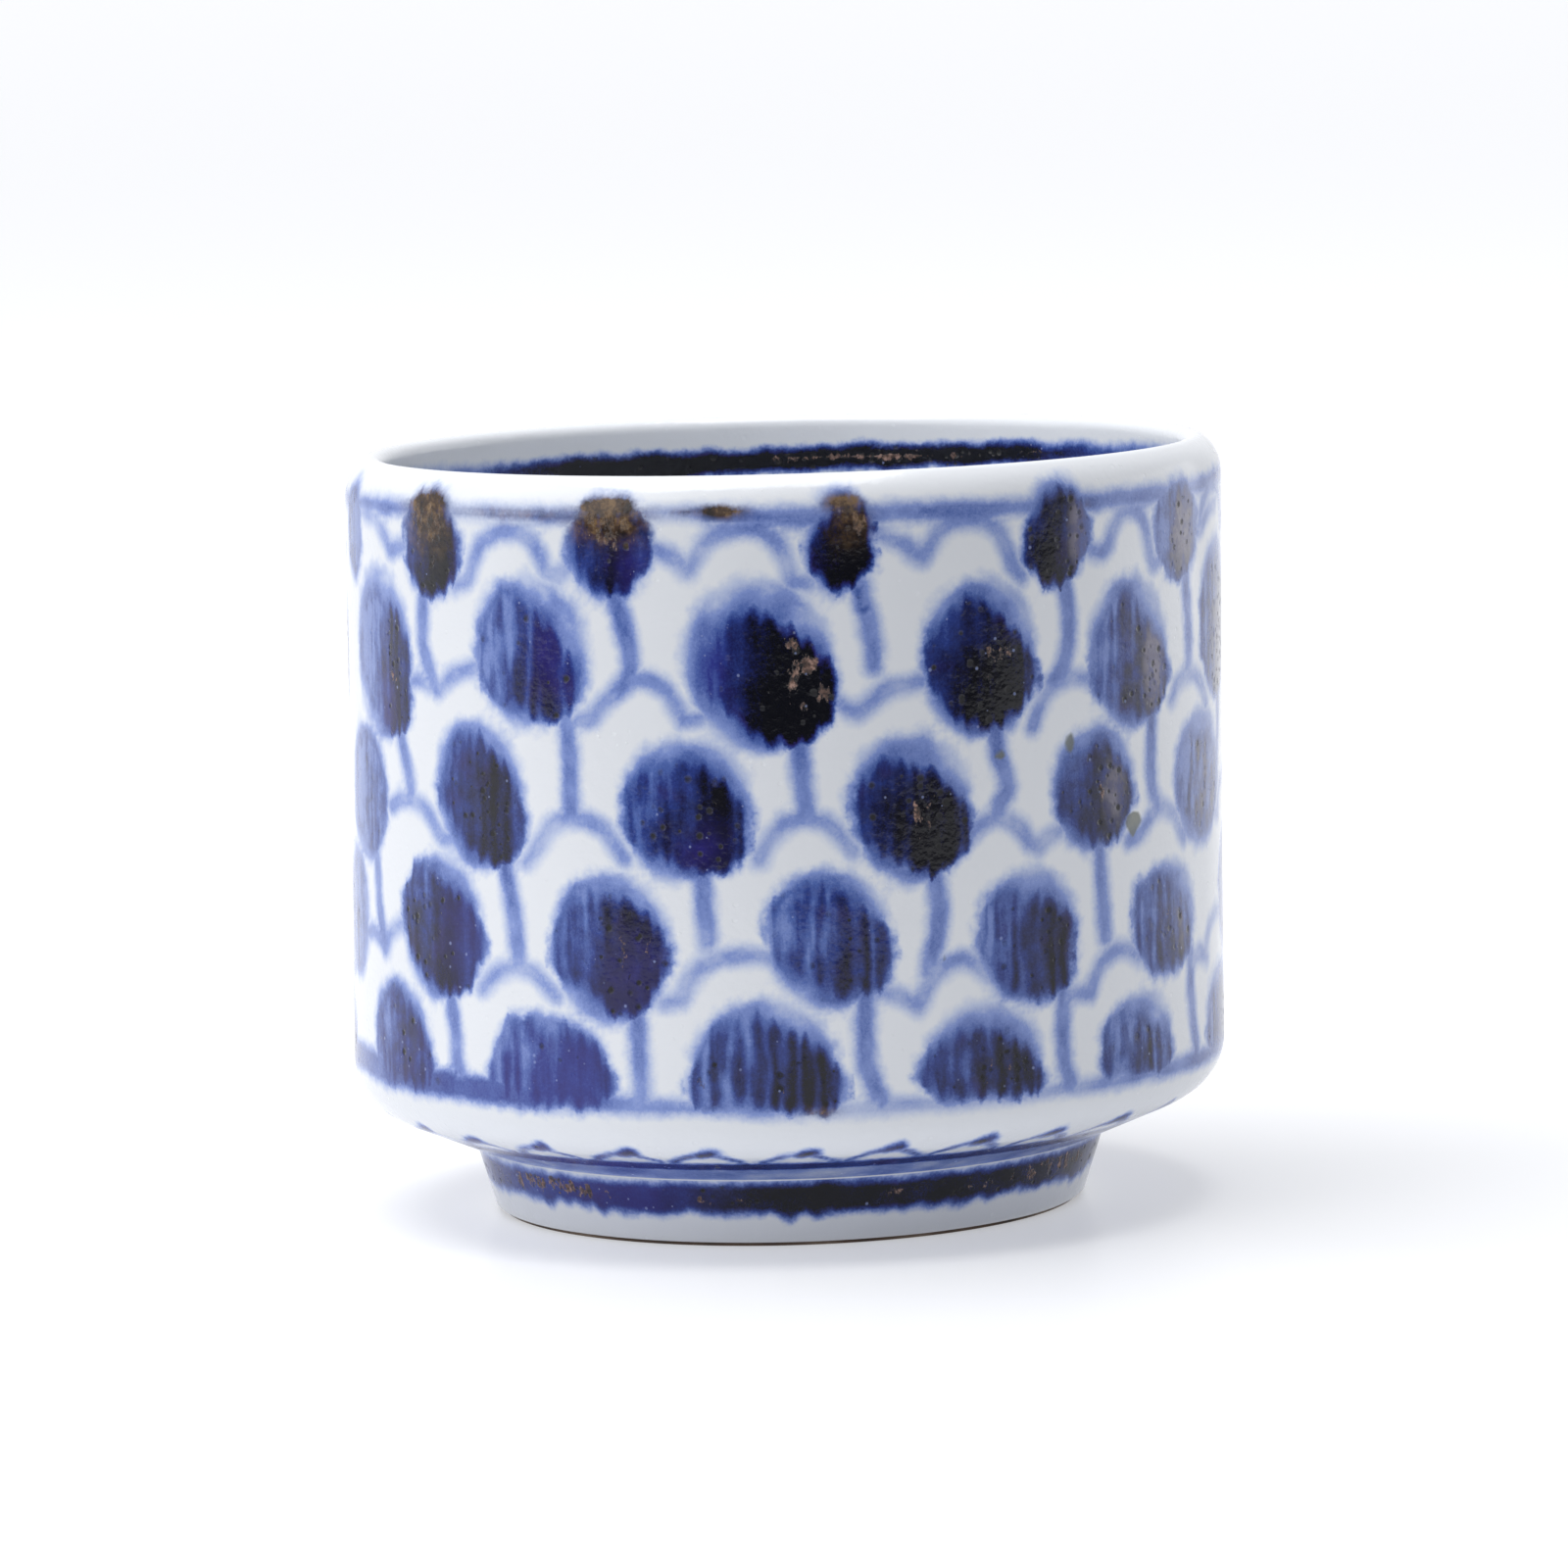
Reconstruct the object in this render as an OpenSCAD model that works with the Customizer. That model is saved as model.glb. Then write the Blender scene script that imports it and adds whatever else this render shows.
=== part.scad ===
/* [Cup] */
// Outer diameter of the glazed wall
cup_diameter = 60; // [56:1:70]
// Height from the foot's base to the top of the lip
cup_height = 52.2; // [44:0.2:70]
// Thickness of the glazed wall, glaze on both sides counted
wall_thickness = 2.55; // [2.2:0.05:3.4]
// Thickness of the glazed floor over the foot well
floor_thickness = 3.3; // [2.4:0.1:5]
// Radius of the hollow's bottom corner
hollow_corner_radius = 7; // [5:0.5:10]
// Thickness of the fired glaze
glaze_thickness = 0.3; // [0.2:0.05:0.4]

/* [Lip] */
// Radius by which the wall curls in towards the lip
lip_curl_radius = 3; // [2.8:0.1:4]
// Radius of the rounded top of the lip
lip_edge_radius = 0.85; // [0.6:0.05:1.05]

/* [Shoulder and foot] */
// Radius of the shoulder under the straight wall
shoulder_radius = 4; // [3:0.25:5.5]
// Angle at which the underside rises from the foot
underside_angle = 23; // [15:1:32]
// Distance from the wall in to the top of the foot ring
foot_inset = 8.3; // [7:0.1:11]
// Height of the foot ring
foot_height = 4.7; // [4.5:0.1:9]
// Distance by which the foot ring draws in towards its base
foot_taper = 1.5; // [0.2:0.1:2.5]
// Width of the foot ring at its base
foot_ring_width = 3.2; // [2:0.1:6]
// Height of bare clay left at the base of the foot ring
bare_clay_height = 0.5; // [0.3:0.1:1]

/* [Painted pattern] */
// Number of tufts in each row
tufts_per_row = 13; // [9:1:13]
// Width of a full tuft
tuft_width = 7.4; // [5:0.1:7.6]
// Height of a full tuft
tuft_height = 9.8; // [9:0.1:10.5]
// Width of the stem under a tuft
stem_width = 1.1; // [0.6:0.1:1.6]
// Length of a stem below its tuft
stem_length = 3.4; // [2:0.1:4]
// Distance by which the top row rises past the rim line
top_row_rise = 0.3; // [0.1:0.1:0.6]
// Most that a tuft may reach down between the tufts of the row below
row_reach = 1.8; // [0:0.1:1.8]
// Radius of the brown crust near the top of an upper tuft
crust_radius = 1.3; // [0.8:0.1:1.7]
// Distance from the top of a tuft down to its crust
crust_drop = 0.35; // [0.2:0.05:0.6]

/* [Painted lines] */
// Height of the pale line under the lip
rim_line_height = 1.2; // [0.6:0.1:2]
// Distance from the top of the lip down to the rim line
rim_line_drop = 1.5; // [1.2:0.1:2.5]
// Height of the line over the shoulder
base_line_height = 1.8; // [1:0.1:3]
// Distance that the base line reaches down round the shoulder
base_line_drop = 0.2; // [0:0.1:1.5]
// Width of the dark line round the underside
foot_line_width = 0.7; // [0.4:0.1:1]
// Distance from the foot out to the dark line
foot_line_reach = 3.2; // [2:0.1:4]
// Height of the broad dark band on the foot
foot_band_height = 2; // [1:0.1:2.2]
// Height of the band's lower edge above the base of the foot
foot_band_level = 2.4; // [1.2:0.1:2.6]
// Height of the dark band inside the lip
inner_band_height = 2.6; // [1:0.1:4]
// Distance from the top of the lip down to the inner band
inner_band_drop = 2.9; // [2.6:0.1:6]

/* [Hidden] */
$fn = 96;

// Steps that round stretches of the section are drawn with
corner_steps = 8;
// Length by which a cut passes the face that it leaves through
overrun = 0.05;
// Depth of a mark's prism to each side of the clay's surface: more than the wall's bulge, less than the wall
mark_reach = 1;

// Cobalt and iron painted under a glaze stain it through as it melts, so each mark is a stretch of the skin

// Radii of the glazed section
cup_radius = cup_diameter / 2;
hollow_radius = cup_radius - wall_thickness;
foot_top_radius = cup_radius - foot_inset;
foot_base_radius = foot_top_radius - foot_taper;
well_radius = foot_base_radius - foot_ring_width;

// Centres of the lip's two arcs, and the angle at which one runs into the other
lip_curl_centre = cup_radius - lip_curl_radius;
lip_edge_centre = hollow_radius + lip_edge_radius;
lip_meeting_angle = acos((lip_edge_centre - lip_curl_centre) / (lip_curl_radius - lip_edge_radius));
lip_edge_level = cup_height - lip_edge_radius;
lip_curl_level = lip_edge_level - (lip_curl_radius - lip_edge_radius) * sin(lip_meeting_angle);

// Centre of the shoulder's arc, which the underside meets smoothly
shoulder_centre = cup_radius - shoulder_radius;
shoulder_run = shoulder_centre + shoulder_radius * sin(underside_angle) - foot_top_radius;
shoulder_level = foot_height + shoulder_run * tan(underside_angle) + shoulder_radius * cos(underside_angle);

// The same section in clay, under the glaze
clay_wall_radius = cup_radius - glaze_thickness;
clay_well_radius = well_radius + glaze_thickness;
clay_foot_base_radius = foot_base_radius - glaze_thickness;
clay_foot_top_radius = foot_top_radius - glaze_thickness;
clay_shoulder_radius = shoulder_radius - glaze_thickness;
clay_lip_curl_radius = lip_curl_radius - glaze_thickness;
clay_lip_edge_radius = lip_edge_radius - glaze_thickness;
clay_hollow_corner_radius = hollow_corner_radius + glaze_thickness;
clay_foot_height = underside_level(clay_foot_top_radius, 0);

// Glazed floor and centre of the hollow's corner
floor_level = clay_foot_height - glaze_thickness + floor_thickness;
hollow_corner_centre = hollow_radius - hollow_corner_radius;
hollow_corner_level = floor_level + hollow_corner_radius;

// Turns of the rows, from the top one down, as shares of the step between tufts
row_turn_shares = [0.22, 0.84, 0.48, 0.13, 0.83];
tuft_step = 360 / tufts_per_row;

// Tufts of the top row and of the lowest row, as shares of a full tuft
top_width_share = 0.58;
top_height_share = 0.62;
low_width_share = 0.85;
low_height_share = 0.66;

// As many rows as fit between the lip and the base line, in which the lowest tufts stand
base_line_level = shoulder_level - base_line_drop;
top_row_level = cup_height - rim_line_drop + top_row_rise - tuft_height * top_height_share / 2;
lowest_row_level = base_line_level + (base_line_height + tuft_height * low_height_share) / 2;
row_count = floor((top_row_level - lowest_row_level) / (tuft_height - row_reach)) + 1;
row_step = (top_row_level - lowest_row_level) / (row_count - 1);

function row_level(row) = top_row_level - row_step * row;

function row_width(row) =
    tuft_width * (row == 0 ? top_width_share : row == row_count - 1 ? low_width_share : 1);

function row_height(row) =
    tuft_height * (row == 0 ? top_height_share : row == row_count - 1 ? low_height_share : 1);

function tuft_angle(row, place) = tuft_step * (place + row_turn_shares[row % len(row_turn_shares)]);

function arc(centre, level, radius, from, to) =
    [for (i = [0 : corner_steps])
        let (a = from + (to - from) * i / corner_steps)
        [centre + radius * cos(a), level + radius * sin(a)]];

function reversed(points) = [for (i = [len(points) - 1 : -1 : 0]) points[i]];

// Level of the underside at a radius. Growth 0 is the clay, and the glaze's thickness is the glaze.
function underside_level(radius, growth) =
    shoulder_level - (clay_shoulder_radius + growth) * cos(underside_angle)
    - (shoulder_centre + (clay_shoulder_radius + growth) * sin(underside_angle) - radius)
      * tan(underside_angle);

function clay_foot_radius(level) =
    clay_foot_base_radius + (clay_foot_top_radius - clay_foot_base_radius) * level / clay_foot_height;

function foot_section(growth) = [
    [clay_foot_radius(bare_clay_height) + growth, bare_clay_height],
    [clay_foot_top_radius + growth, underside_level(clay_foot_top_radius + growth, growth)]];

function wall_section(growth) = concat(
    arc(shoulder_centre, shoulder_level, clay_shoulder_radius + growth, underside_angle - 90, 0),
    arc(lip_curl_centre, lip_curl_level, clay_lip_curl_radius + growth, 0, lip_meeting_angle),
    arc(lip_edge_centre, lip_edge_level, clay_lip_edge_radius + growth, lip_meeting_angle, 90),
    arc(lip_edge_centre, lip_edge_level, clay_lip_edge_radius + growth, 90, 180));

function hollow_section(growth) = concat(
    arc(hollow_corner_centre, hollow_corner_level, clay_hollow_corner_radius - growth, 0, -90),
    [[0, floor_level - glaze_thickness + growth]]);

function whole_section(growth) = concat(foot_section(growth), wall_section(growth), hollow_section(growth));

// Section of the fired skin of glaze over the foot, the wall, the lip and the hollow
module skin_section() {
    polygon(concat(whole_section(glaze_thickness), reversed(whole_section(0))));
}

module skin() {
    rotate_extrude()
        skin_section();
}

// Stretch of the skin in a ring's box, given in section
module stained_ring() {
    rotate_extrude()
        intersection() {
            skin_section();
            children();
        }
}

// Outlines of the painted rings, in section, each of them over one stretch of the skin
module rim_box() {
    translate([lip_edge_centre, cup_height - rim_line_drop - rim_line_height])
        square([lip_curl_radius, rim_line_height]);
}

module base_box() {
    translate([lip_edge_centre, base_line_level])
        square([shoulder_radius, base_line_height]);
}

module foot_line_box() {
    inner_radius = foot_top_radius + foot_line_reach;
    outer_radius = inner_radius + foot_line_width;
    polygon([
        [inner_radius, underside_level(inner_radius, glaze_thickness) - overrun],
        [outer_radius, underside_level(outer_radius, glaze_thickness) - overrun],
        [outer_radius, underside_level(outer_radius, 0) + overrun],
        [inner_radius, underside_level(inner_radius, 0) + overrun]]);
}

module foot_band_box() {
    translate([well_radius, foot_band_level])
        square([cup_radius, foot_band_height]);
}

module inner_box() {
    translate([hollow_corner_centre, cup_height - inner_band_drop - inner_band_height])
        square([lip_edge_centre - hollow_corner_centre, inner_band_height]);
}

// Places a flat mark upright on the wall, with a radius of the cup through its middle
module on_wall(angle, level) {
    rotate([0, 0, angle])
        translate([0, mark_reach - clay_wall_radius, level])
            rotate([90, 0, 0])
                linear_extrude(2 * mark_reach)
                    children();
}

// A tuft is round at both ends of its longer side
module tuft_shape(row) {
    radius = min(row_width(row), row_height(row)) / 2;
    half_length = max(row_width(row), row_height(row)) / 2 - radius;
    rotate(row_width(row) > row_height(row) ? 90 : 0) {
        for (end = [-1, 1])
            translate([0, end * half_length])
                circle(radius);
        translate([-radius, -half_length])
            square([2 * radius, 2 * half_length]);
    }
}

module tuft_prisms() {
    for (row = [0 : row_count - 1])
        for (place = [0 : tufts_per_row - 1])
            on_wall(tuft_angle(row, place), row_level(row))
                tuft_shape(row);
}

module stem_prisms() {
    for (row = [0 : row_count - 2])
        for (place = [0 : tufts_per_row - 1])
            on_wall(tuft_angle(row, place), row_level(row) - row_height(row) / 2 - stem_length)
                translate([-stem_width / 2, 0])
                    square([stem_width, stem_length + stem_width]);
}

module crust_prisms() {
    for (place = [0 : tufts_per_row - 1])
        on_wall(tuft_angle(0, place), row_level(0) + row_height(0) / 2 - crust_drop - crust_radius)
            circle(crust_radius);
}

// Section of the clay over the foot
module clay_section() {
    polygon(concat([[0, clay_foot_height], [clay_foot_top_radius, clay_foot_height]],
                   wall_section(0), hollow_section(0)));
}

// Stretch of that section from which the wall runs straight up
module wall_box() {
    translate([0, hollow_corner_level])
        square([cup_radius, cup_height]);
}

module cup_wall() {
    color("#eceef4")
        rotate_extrude()
            intersection() {
                clay_section();
                wall_box();
            }
}

module cup_floor() {
    color("#e4e7ef")
        rotate_extrude()
            difference() {
                clay_section();
                wall_box();
            }
}

module foot_ring() {
    color("#d8cdbf")
        rotate_extrude()
            polygon([
                [clay_well_radius, 0],
                [clay_foot_base_radius, 0],
                [clay_foot_top_radius, clay_foot_height],
                [clay_well_radius, clay_foot_height]]);
}

// Clear glaze, in the stretches that the painted rings leave, with an opening for each mark
module glaze_coat() {
    color("#f2f4fa")
        difference() {
            rotate_extrude()
                difference() {
                    skin_section();
                    rim_box();
                    base_box();
                    foot_line_box();
                    foot_band_box();
                    inner_box();
                }
            tuft_prisms();
            stem_prisms();
            crust_prisms();
        }
}

module foot_well_glaze() {
    color("#e9ecf2")
        difference() {
            translate([0, 0, bare_clay_height])
                cylinder(h = clay_foot_height - bare_clay_height, r = clay_well_radius);
            translate([0, 0, bare_clay_height - overrun])
                cylinder(h = clay_foot_height - bare_clay_height - glaze_thickness + overrun, r = well_radius);
        }
}

module cobalt_tufts() {
    color("#27295f")
        difference() {
            intersection() {
                skin();
                tuft_prisms();
            }
            crust_prisms();
        }
}

module tuft_stems() {
    color("#5468b0")
        difference() {
            intersection() {
                skin();
                stem_prisms();
            }
            tuft_prisms();
        }
}

module rim_line() {
    color("#8698c8")
        difference() {
            stained_ring()
                rim_box();
            tuft_prisms();
        }
}

module base_line() {
    color("#6f80c2")
        difference() {
            stained_ring()
                base_box();
            tuft_prisms();
            stem_prisms();
        }
}

module foot_line() {
    color("#2d3f88")
        stained_ring()
            foot_line_box();
}

module foot_band() {
    color("#161a4a")
        stained_ring()
            foot_band_box();
}

module inner_band() {
    color("#14183f")
        stained_ring()
            inner_box();
}

module iron_crust() {
    color("#6b523f")
        intersection() {
            skin();
            crust_prisms();
        }
}

cup_wall();
cup_floor();
foot_ring();
glaze_coat();
foot_well_glaze();
cobalt_tufts();
tuft_stems();
rim_line();
base_line();
foot_line();
foot_band();
inner_band();
iron_crust();
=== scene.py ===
# %% [markdown]
# # A hand-painted sake cup
# The cup is one piece of thrown porcelain on a turned foot. It was painted in cobalt blue, dipped in clear
# glaze and fired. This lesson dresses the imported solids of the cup: first the camera, then the clay, thrown by
# one small Geometry Nodes wheel, then the painting, and last the table and the light. The painting is the main
# work. It could be a picture wrapped round the cup, but a picture blurs when the camera comes close, so here
# every brush mark is a shape on the wall, stored as a distance on the mesh and given its edge by the shader.

# %% Start: load the solids
import math
from collections import namedtuple

import bpy
import numpy as np
from mathutils import Matrix, Vector


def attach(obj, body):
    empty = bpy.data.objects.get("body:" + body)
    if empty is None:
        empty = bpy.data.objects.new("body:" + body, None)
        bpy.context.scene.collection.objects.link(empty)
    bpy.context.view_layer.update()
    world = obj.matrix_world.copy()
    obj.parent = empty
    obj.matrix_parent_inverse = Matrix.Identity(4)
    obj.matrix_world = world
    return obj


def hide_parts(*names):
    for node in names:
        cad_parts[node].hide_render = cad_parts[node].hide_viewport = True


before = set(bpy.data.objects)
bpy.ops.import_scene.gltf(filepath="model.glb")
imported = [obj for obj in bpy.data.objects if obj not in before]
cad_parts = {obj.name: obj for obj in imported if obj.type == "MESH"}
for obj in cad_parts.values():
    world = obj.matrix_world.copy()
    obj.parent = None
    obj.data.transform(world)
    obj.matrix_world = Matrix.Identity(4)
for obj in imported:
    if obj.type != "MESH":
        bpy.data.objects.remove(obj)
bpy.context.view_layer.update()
MM = 0.001
scene = bpy.context.scene

# %% [markdown]
# ## Camera
# A long lens looks down on the cup by six and a half degrees from half a metre away, which is why the lip is a
# thin ellipse and the sides stay parallel. The frame is rolled by about a degree and a half: the far
# horizon would rise to the right. The lens is aimed at the cup's axis, a little above its middle.

# %% Camera
AIM_HEIGHT = 28.7 * MM
CAMERA_DISTANCE = 527.8 * MM
CAMERA_ELEVATION = math.radians(6.61)
CAMERA_ROLL = math.radians(1.61)
FOCAL_SHARE = 7822 / 1600
SHIFT_SHARE = 4.9 / 1600
SENSOR = 36.0


def aim_camera():
    forward = Vector((0, math.cos(CAMERA_ELEVATION), -math.sin(CAMERA_ELEVATION)))
    level = Vector((1, 0, 0))
    up = level.cross(forward)
    right = level * math.cos(CAMERA_ROLL) - up * math.sin(CAMERA_ROLL)
    top = level * math.sin(CAMERA_ROLL) + up * math.cos(CAMERA_ROLL)
    data = bpy.data.cameras.new("camera")
    data.sensor_width = SENSOR
    data.lens = FOCAL_SHARE * SENSOR
    data.shift_x = SHIFT_SHARE
    data.clip_start = 0.01
    data.clip_end = 100
    camera = bpy.data.objects.new("camera", data)
    place = Matrix((right, top, -forward)).transposed().to_4x4()
    place.translation = Vector((0, 0, AIM_HEIGHT)) - forward * CAMERA_DISTANCE
    camera.matrix_world = place
    scene.collection.objects.link(camera)
    scene.camera = camera
    return camera


camera = aim_camera()
print("camera at", [round(v, 3) for v in camera.location], "lens", round(camera.data.lens, 1), "mm")

# %% [markdown]
# ## Helpers for node trees
# Every tree below is built with one small class. It adds a node and fills its inputs by name or by place, and
# it has short words for the sums that come up most. A tree also keeps the one vector that its noises and
# shared effects read, such as the place on the cup in millimetres.

# %% Helpers


def linear(red, green, blue):
    """A colour written as 0 to 255, as linear values with a full alpha."""
    shares = [value / 255 for value in (red, green, blue)]
    return (*(v / 12.92 if v <= 0.04045 else ((v + 0.055) / 1.055) ** 2.4 for v in shares), 1.0)


class Tree:
    """A node tree, with the vector that its noises and effects read."""

    def __init__(self, data):
        self.data, self.where = data, None

    def fill(self, socket, value):
        """Links another node's output to the socket, or writes a plain value there."""
        if isinstance(value, bpy.types.NodeSocket):
            self.data.links.new(value, socket)
        else:
            socket.default_value = value

    def put(self, kind, inputs=None, **settings):
        """Adds one node, with its settings first and then its inputs."""
        node = self.data.nodes.new(kind)
        for name, value in settings.items():
            setattr(node, name, value)
        for key, value in (inputs or {}).items():
            self.fill(node.inputs[key], value)
        return node

    def maths(self, operation, *values, clamp=False):
        return self.put("ShaderNodeMath", dict(enumerate(values)), operation=operation, use_clamp=clamp).outputs[0]

    def chain(self, operation, values, clamp):
        total = values[0]
        for value in values[1:-1]:
            total = self.maths(operation, total, value)
        return self.maths(operation, total, values[-1], clamp=clamp)

    def plus(self, *values, clamp=False):
        return self.chain("ADD", values, clamp)

    def times(self, *values, clamp=False):
        return self.chain("MULTIPLY", values, clamp)

    def minus(self, first, second, clamp=False):
        return self.maths("SUBTRACT", first, second, clamp=clamp)

    def about(self, value):
        """How far a noise lies above its middle."""
        return self.minus(value, 0.5)

    def slope(self, value, gain, shift):
        """A straight rise from 0 to 1: the value times the gain, plus the shift."""
        return self.maths("MULTIPLY_ADD", value, gain, shift, clamp=True)

    def span(self, value, start, end, low, high, **settings):
        """Maps the value's span from start to end onto low to high."""
        return self.put("ShaderNodeMapRange", {"Value": value, "From Min": start, "From Max": end, "To Min": low,
                                               "To Max": high}, **settings).outputs[0]

    def vector(self, operation, inputs, output=0):
        return self.put("ShaderNodeVectorMath", inputs, operation=operation).outputs[output]

    def noise(self, scale, detail=2.0, stretch=None):
        where = self.vector("MULTIPLY", {0: self.where, 1: stretch}) if stretch else self.where
        return self.put("ShaderNodeTexNoise", {"Vector": where, "Scale": scale, "Detail": detail}).outputs[0]

    def use(self, group, **values):
        """Places a shared effect with its own values and returns its outputs."""
        inputs = {name.capitalize(): value for name, value in values.items()}
        return self.put("ShaderNodeGroup", {**inputs, "Vector": self.where}, node_tree=group).outputs

    def attribute(self, name):
        return self.put("ShaderNodeAttribute", attribute_name=name).outputs["Fac"]

    def mix(self, factor, first, second):
        return self.put("ShaderNodeMix", {0: factor, 6: first, 7: second}, data_type="RGBA").outputs[2]

    def ramp(self, factor, stops):
        """A colour ramp through stops, each a place and a colour written as 0 to 255."""
        node = self.put("ShaderNodeValToRGB", {0: factor})
        elements = node.color_ramp.elements
        while len(elements) < len(stops):
            elements.new(0.5)
        for element, (place, colour) in zip(elements, stops):
            element.position = place
            element.color = linear(*colour)
        return node.outputs[0]


def new_group(kind, name, inputs, outputs, socket="Float"):
    """A node group and what it is given. An input's word is its socket's kind, and its number a first value."""
    data = bpy.data.node_groups.new(name, kind + "NodeTree")
    for title, first in inputs.items():
        word = {float: "Float", int: "Int"}.get(type(first), first)
        entry = data.interface.new_socket(title, in_out="INPUT", socket_type="NodeSocket" + word)
        if word != first:
            entry.default_value = first
    for title in outputs:
        data.interface.new_socket(title, in_out="OUTPUT", socket_type="NodeSocket" + socket)
    tree = Tree(data)
    return tree, tree.put("NodeGroupInput").outputs


def close_geometry(tree, geometry, material):
    """Ends a geometry group: real mesh, with the material on it."""
    real = tree.put("GeometryNodeRealizeInstances", {0: geometry})
    finish = tree.put("GeometryNodeSetMaterial", {0: real.outputs[0], "Material": material})
    tree.put("NodeGroupOutput", {0: finish.outputs[0]})
    tree.data.is_modifier = True
    return tree.data


# %% [markdown]
# ## The section of the cup
# A thrown pot is a section turned about an axis, so the whole form is one outline. It starts in the middle of
# the well under the cup, runs down the well's side and over the foot, the underside, the shoulder, the
# straight wall and the lip, and goes down the inside to the middle of the floor. The sizes are those of the
# solids. Each stretch has its own spacing: close where the painting lies, wide inside, where there is none.

# %% Section
WALL_RADIUS = 30.0
HOLLOW_RADIUS = 27.45
FOOT_HEIGHT = 4.7
FOOT_TOP_RADIUS = 21.7
FOOT_BASE_RADIUS = 20.2
WELL_RADIUS = 17.0
WELL_TOP = 4.75
FLOOR_HEIGHT = 7.9
BARE_HEIGHT = 0.3
INNER_BAND_FOOT = 45.2
# The glaze ends over the bare rim, a little inside the foot's outline, with a small rounding
GLAZE_END = (FOOT_BASE_RADIUS + 0.06, BARE_HEIGHT)
GLAZE_ROUND = (FOOT_BASE_RADIUS + 0.17, BARE_HEIGHT + 0.12)
WELL_SIDE = WELL_RADIUS + 0.15
UNDERSIDE_ANGLE = math.radians(23)
# Arcs: radius and height of the centre, and the arc's own radius
SHOULDER = (26.0, 10.87, 4.0)
LIP_CURL = (27.0, 49.638, 3.0)
LIP_EDGE = (28.3, 51.35, 0.85)
HOLLOW_CORNER = (20.45, 14.9, 7.0)
LIP_MEETING = math.radians(52.79)


def line(start, end, spacing):
    """Points from start to just before end."""
    count = max(1, round(math.dist(start, end) / spacing))
    return [(start[0] + (end[0] - start[0]) * i / count, start[1] + (end[1] - start[1]) * i / count)
            for i in range(count)]


def arc(centre, start, end, spacing):
    x, z, radius = centre
    count = max(2, round(abs(end - start) * radius / spacing))
    return [(x + radius * math.cos(start + (end - start) * i / count),
             z + radius * math.sin(start + (end - start) * i / count)) for i in range(count)]


def cup_section():
    turn = math.pi / 2
    shoulder_start = (SHOULDER[0] + SHOULDER[2] * math.sin(UNDERSIDE_ANGLE),
                      SHOULDER[1] - SHOULDER[2] * math.cos(UNDERSIDE_ANGLE))
    points = line((0, WELL_TOP), (WELL_SIDE, WELL_TOP), 8)
    points += line((WELL_SIDE, WELL_TOP), (WELL_SIDE, BARE_HEIGHT), 2)
    points += line((WELL_SIDE, BARE_HEIGHT), GLAZE_END, 2)
    points += line(GLAZE_END, GLAZE_ROUND, 0.1)
    points += line(GLAZE_ROUND, (FOOT_TOP_RADIUS, FOOT_HEIGHT), 0.36)
    points += line((FOOT_TOP_RADIUS, FOOT_HEIGHT), shoulder_start, 0.4)
    points += arc(SHOULDER, UNDERSIDE_ANGLE - turn, 0, 0.38)
    points += line((WALL_RADIUS, SHOULDER[1]), (WALL_RADIUS, LIP_CURL[1]), 0.42)
    points += arc(LIP_CURL, 0, LIP_MEETING, 0.34)
    points += arc(LIP_EDGE, LIP_MEETING, 2 * turn, 0.17)
    points += line((HOLLOW_RADIUS, LIP_EDGE[1]), (HOLLOW_RADIUS, INNER_BAND_FOOT), 0.44)
    points += line((HOLLOW_RADIUS, INNER_BAND_FOOT), (HOLLOW_RADIUS, HOLLOW_CORNER[1]), 2.2)
    points += arc(HOLLOW_CORNER, 0, -turn, 1.1)
    points += line((HOLLOW_CORNER[0], FLOOR_HEIGHT), (0, FLOOR_HEIGHT), 2.6)
    return points + [(0, FLOOR_HEIGHT)]


section = cup_section()
print("points along the section:", len(section))

# %% [markdown]
# ## The wheel
# Lathe and screw tools turn an outline too, but they give a perfect circle. A pot leans a little and its
# wall is never quite round. This small wheel in Geometry Nodes makes a grid with one row for each point of
# the section, wraps it round the axis, adds a slow unevenness and a lean, and closes the seam and the poles
# by merging. Three pieces are thrown on it: the glazed cup, the bare rim of the foot and the well under it.

# %% Wheel
MERGE_DISTANCE = 0.000002


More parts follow.
